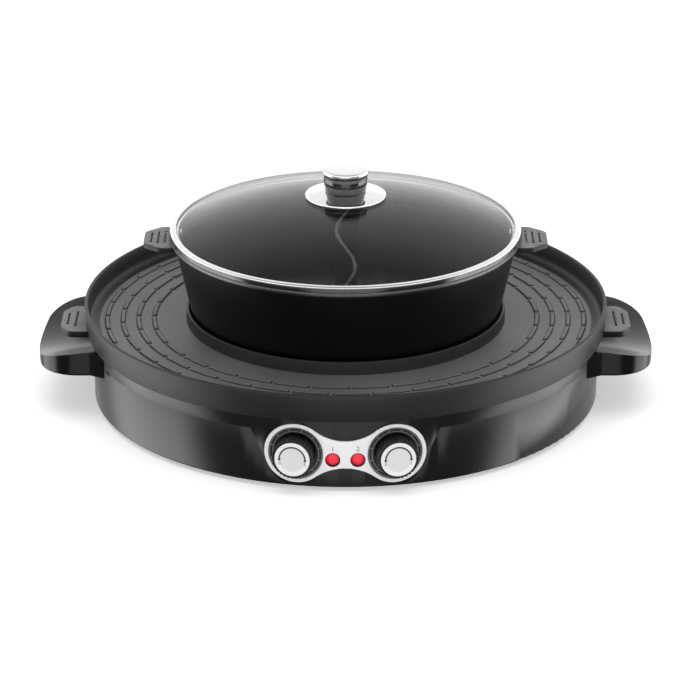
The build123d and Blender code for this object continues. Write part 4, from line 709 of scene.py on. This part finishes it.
# Its underside follows the glass, a hairline above it
for step in range(6, -1, -1):
    reach = 0.003 + (0.0304 - 0.003) * step / 6
    saucer_profile.append((reach, on_sphere(dome_outer, reach) + 0.00002))
saucer_profile.append(saucer_profile[0])
saucer = turned("lid_saucer", saucer_profile, 128)
soften(saucer, 0.0, 1, 35.0)
seat(saucer, chrome, "lid_chrome", "lid", "lid_flange")
knob_profile = [(0.0, 0.16281), (0.0151, 0.16281), (0.0154, 0.16311), (0.0157, 0.16400),
                (0.0161, 0.16600), (0.0164, 0.16790), (0.0166, 0.16950), (0.0166, 0.17518),
                (0.0164, 0.17550), (0.0156, 0.17560), (0.0156, 0.17656), (0.0162, 0.17666),
                (0.0177, 0.17750), (0.0180, 0.17782), (0.0180, 0.17950), (0.0177, 0.18005),
                (0.0166, 0.18041), (0.0130, 0.18054), (0.0, 0.18058)]
knob_top = turned("lid_turned_knob", knob_profile, 128)
soften(knob_top, 0.0002, 2, 40.0)
paint(knob_top, chrome)
# The knob's side below its top takes the painted dark reflection
second_finish(knob_top, steel_painted_dark_reflection, lambda face: face.center.z < 0.1774)
seat(knob_top, None, "lid_chrome", "lid", "lid_knob")
paint_cad("lid_washer", finish("washer_silicone", grey(196), grey(210), 0.6, 700.0, 0.00001))
paint_cad("lid_screw", zinc)


# Stage: a plain pale table that runs back to a white background, a broad soft light overhead and a
# weaker one from the front, as in a small product studio. Bright panels at both sides are only
# mirrored, and light nothing.
camera_place = Vector((0.00334, -2.2961, 0.9548))
camera_target = Vector((0.00334, 0.0, 0.03227))
bpy.ops.object.select_all(action="DESELECT")
bpy.ops.object.camera_add(location=camera_place)
camera = bpy.context.object
camera.rotation_euler = (camera_target - camera_place).to_track_quat("-Z", "Y").to_euler()
camera.data.lens = 164.57
camera.data.sensor_width = 36.0
camera.data.clip_end = 50.0
bpy.context.scene.camera = camera

bpy.ops.mesh.primitive_plane_add(size=1.0, location=(0, 0, 0))
table = bpy.context.object
table.name = "table_top"
table.scale = (14.0, 14.0, 1.0)
bpy.ops.object.transform_apply(scale=True)
table_white = bpy.data.materials.new("table_white")
table_white.use_nodes = True
table_tree = table_white.node_tree
table_shader = table_tree.nodes["Principled BSDF"]
table_shader.inputs["Base Color"].default_value = (0.93, 0.93, 0.93, 1.0)
table_shader.inputs["Roughness"].default_value = 0.9
table_shader.inputs["Emission Color"].default_value = (1.0, 1.0, 1.0, 1.0)
# For the camera the table glows, more and more away from the object, and ends as white as the background
table_ray = table_tree.nodes.new("ShaderNodeLightPath")
table_place = table_tree.nodes.new("ShaderNodeTexCoord")
table_reach = table_tree.nodes.new("ShaderNodeVectorMath")
table_reach.operation = "LENGTH"
table_tree.links.new(table_place.outputs["Object"], table_reach.inputs[0])
table_glow = table_tree.nodes.new("ShaderNodeMapRange")
table_glow.inputs["From Min"].default_value = 0.6
table_glow.inputs["From Max"].default_value = 2.4
table_glow.inputs["To Min"].default_value = 0.42
table_glow.inputs["To Max"].default_value = 1.0
table_tree.links.new(table_reach.outputs["Value"], table_glow.inputs["Value"])
table_tree.links.new(
    math_node(table_tree, "MULTIPLY", table_ray.outputs["Is Camera Ray"], table_glow.outputs["Result"]),
    table_shader.inputs["Emission Strength"])
paint(table, table_white)
table.visible_glossy = False


def grey_ramp(tree, marks):
    """A ramp of greys through marks, given as (place, brightness)"""
    ramp = tree.nodes.new("ShaderNodeValToRGB")
    while len(ramp.color_ramp.elements) < len(marks):
        ramp.color_ramp.elements.new(0.5)
    for element, (place, bright) in zip(ramp.color_ramp.elements, marks):
        element.position = place
        element.color = (bright, bright, bright, 1.0)
    return ramp


def blend(tree, share, first, second):
    """A number between two others, by a share from 0 to 1"""
    mix = tree.nodes.new("ShaderNodeMix")
    mix.data_type = "FLOAT"
    for socket, value in (("Factor", share), ("A", first), ("B", second)):
        if isinstance(value, float):
            mix.inputs[socket].default_value = value
        else:
            tree.links.new(value, mix.inputs[socket])
    return mix.outputs["Result"]


world = bpy.data.worlds.new("studio")
bpy.context.scene.world = world
world.use_nodes = True
world_tree = world.node_tree
sky = world_tree.nodes["Background"]
sky.inputs["Color"].default_value = (1.0, 1.0, 1.0, 1.0)
ray = world_tree.nodes.new("ShaderNodeLightPath")
seen = math_node(
    world_tree, "MAXIMUM", ray.outputs["Is Camera Ray"], ray.outputs["Is Transmission Ray"])
# What polished pieces mirror: white above, bright panels at both sides, dark towards the camera
compass = world_tree.nodes.new("ShaderNodeTexCoord")
heading = world_tree.nodes.new("ShaderNodeSeparateXYZ")
world_tree.links.new(compass.outputs["Generated"], heading.inputs["Vector"])
turn = math_node(world_tree, "ABSOLUTE", math_node(
    world_tree, "ARCTAN2", heading.outputs["X"], math_node(
        world_tree, "MULTIPLY", heading.outputs["Y"], -1.0)))
panel_marks = (
    (0.0, 0.30), (0.10, 0.26), (0.16, 0.05), (0.36, 0.05), (0.43, 1.0), (0.64, 0.85), (0.75, 0.15))
panels = grey_ramp(world_tree, panel_marks)
world_tree.links.new(math_node(world_tree, "DIVIDE", turn, pi), panels.inputs["Fac"])
floor_fade = world_tree.nodes.new("ShaderNodeMapRange")
floor_fade.inputs["From Min"].default_value = -0.8
floor_fade.inputs["From Max"].default_value = -0.5
floor_fade.inputs["To Min"].default_value = 0.1
world_tree.links.new(heading.outputs["Z"], floor_fade.inputs["Value"])
low = math_node(world_tree, "MULTIPLY", math_node(
    world_tree, "MULTIPLY", panels.outputs["Color"], 3.4), floor_fade.outputs["Result"])
height = world_tree.nodes.new("ShaderNodeMapRange")
height.interpolation_type = "SMOOTHSTEP"
height.inputs["From Min"].default_value = -0.15
height.inputs["From Max"].default_value = 0.05
world_tree.links.new(heading.outputs["Z"], height.inputs["Value"])
dome_marks = ((0.0, 0.5), (0.12, 0.46), (0.36, 0.34), (0.70, 0.30), (0.84, 0.12), (1.0, 0.08))
dome_light = grey_ramp(world_tree, dome_marks)
world_tree.links.new(heading.outputs["Z"], dome_light.inputs["Fac"])
high = math_node(world_tree, "MULTIPLY", dome_light.outputs["Color"], 3.0)
mirrored = blend(world_tree, height.outputs["Result"], low, high)
# Mirrors see the panels, matt faces an even light of 0.5, and the camera a background of plain white
unseen = blend(world_tree, ray.outputs["Is Glossy Ray"], 0.5, mirrored)
level = blend(world_tree, seen, unseen, 1.0)
world_tree.links.new(level, sky.inputs["Strength"])


def soft_light(name, place, aim, width, height, power):
    """A rectangular softbox that points at a place, seen by neither the camera nor mirrors"""
    bpy.ops.object.select_all(action="DESELECT")
    bpy.ops.object.light_add(type="AREA", location=place)
    lamp = bpy.context.object
    lamp.name = name
    lamp.data.shape = "RECTANGLE"
    lamp.data.size = width
    lamp.data.size_y = height
    lamp.data.energy = power
    lamp.visible_camera = False
    lamp.visible_glossy = False
    lamp.rotation_euler = (Vector(aim) - Vector(place)).to_track_quat("-Z", "Y").to_euler()


soft_light("overhead_soft", (0.0, -0.2, 2.0), (0, 0, 0.05), 2.4, 2.0, 24.0)
soft_light("front_soft", (0.0, -2.6, 0.55), (0, -0.1, 0.03), 1.4, 0.8, 13.0)

bpy.context.scene.view_settings.view_transform = "Standard"
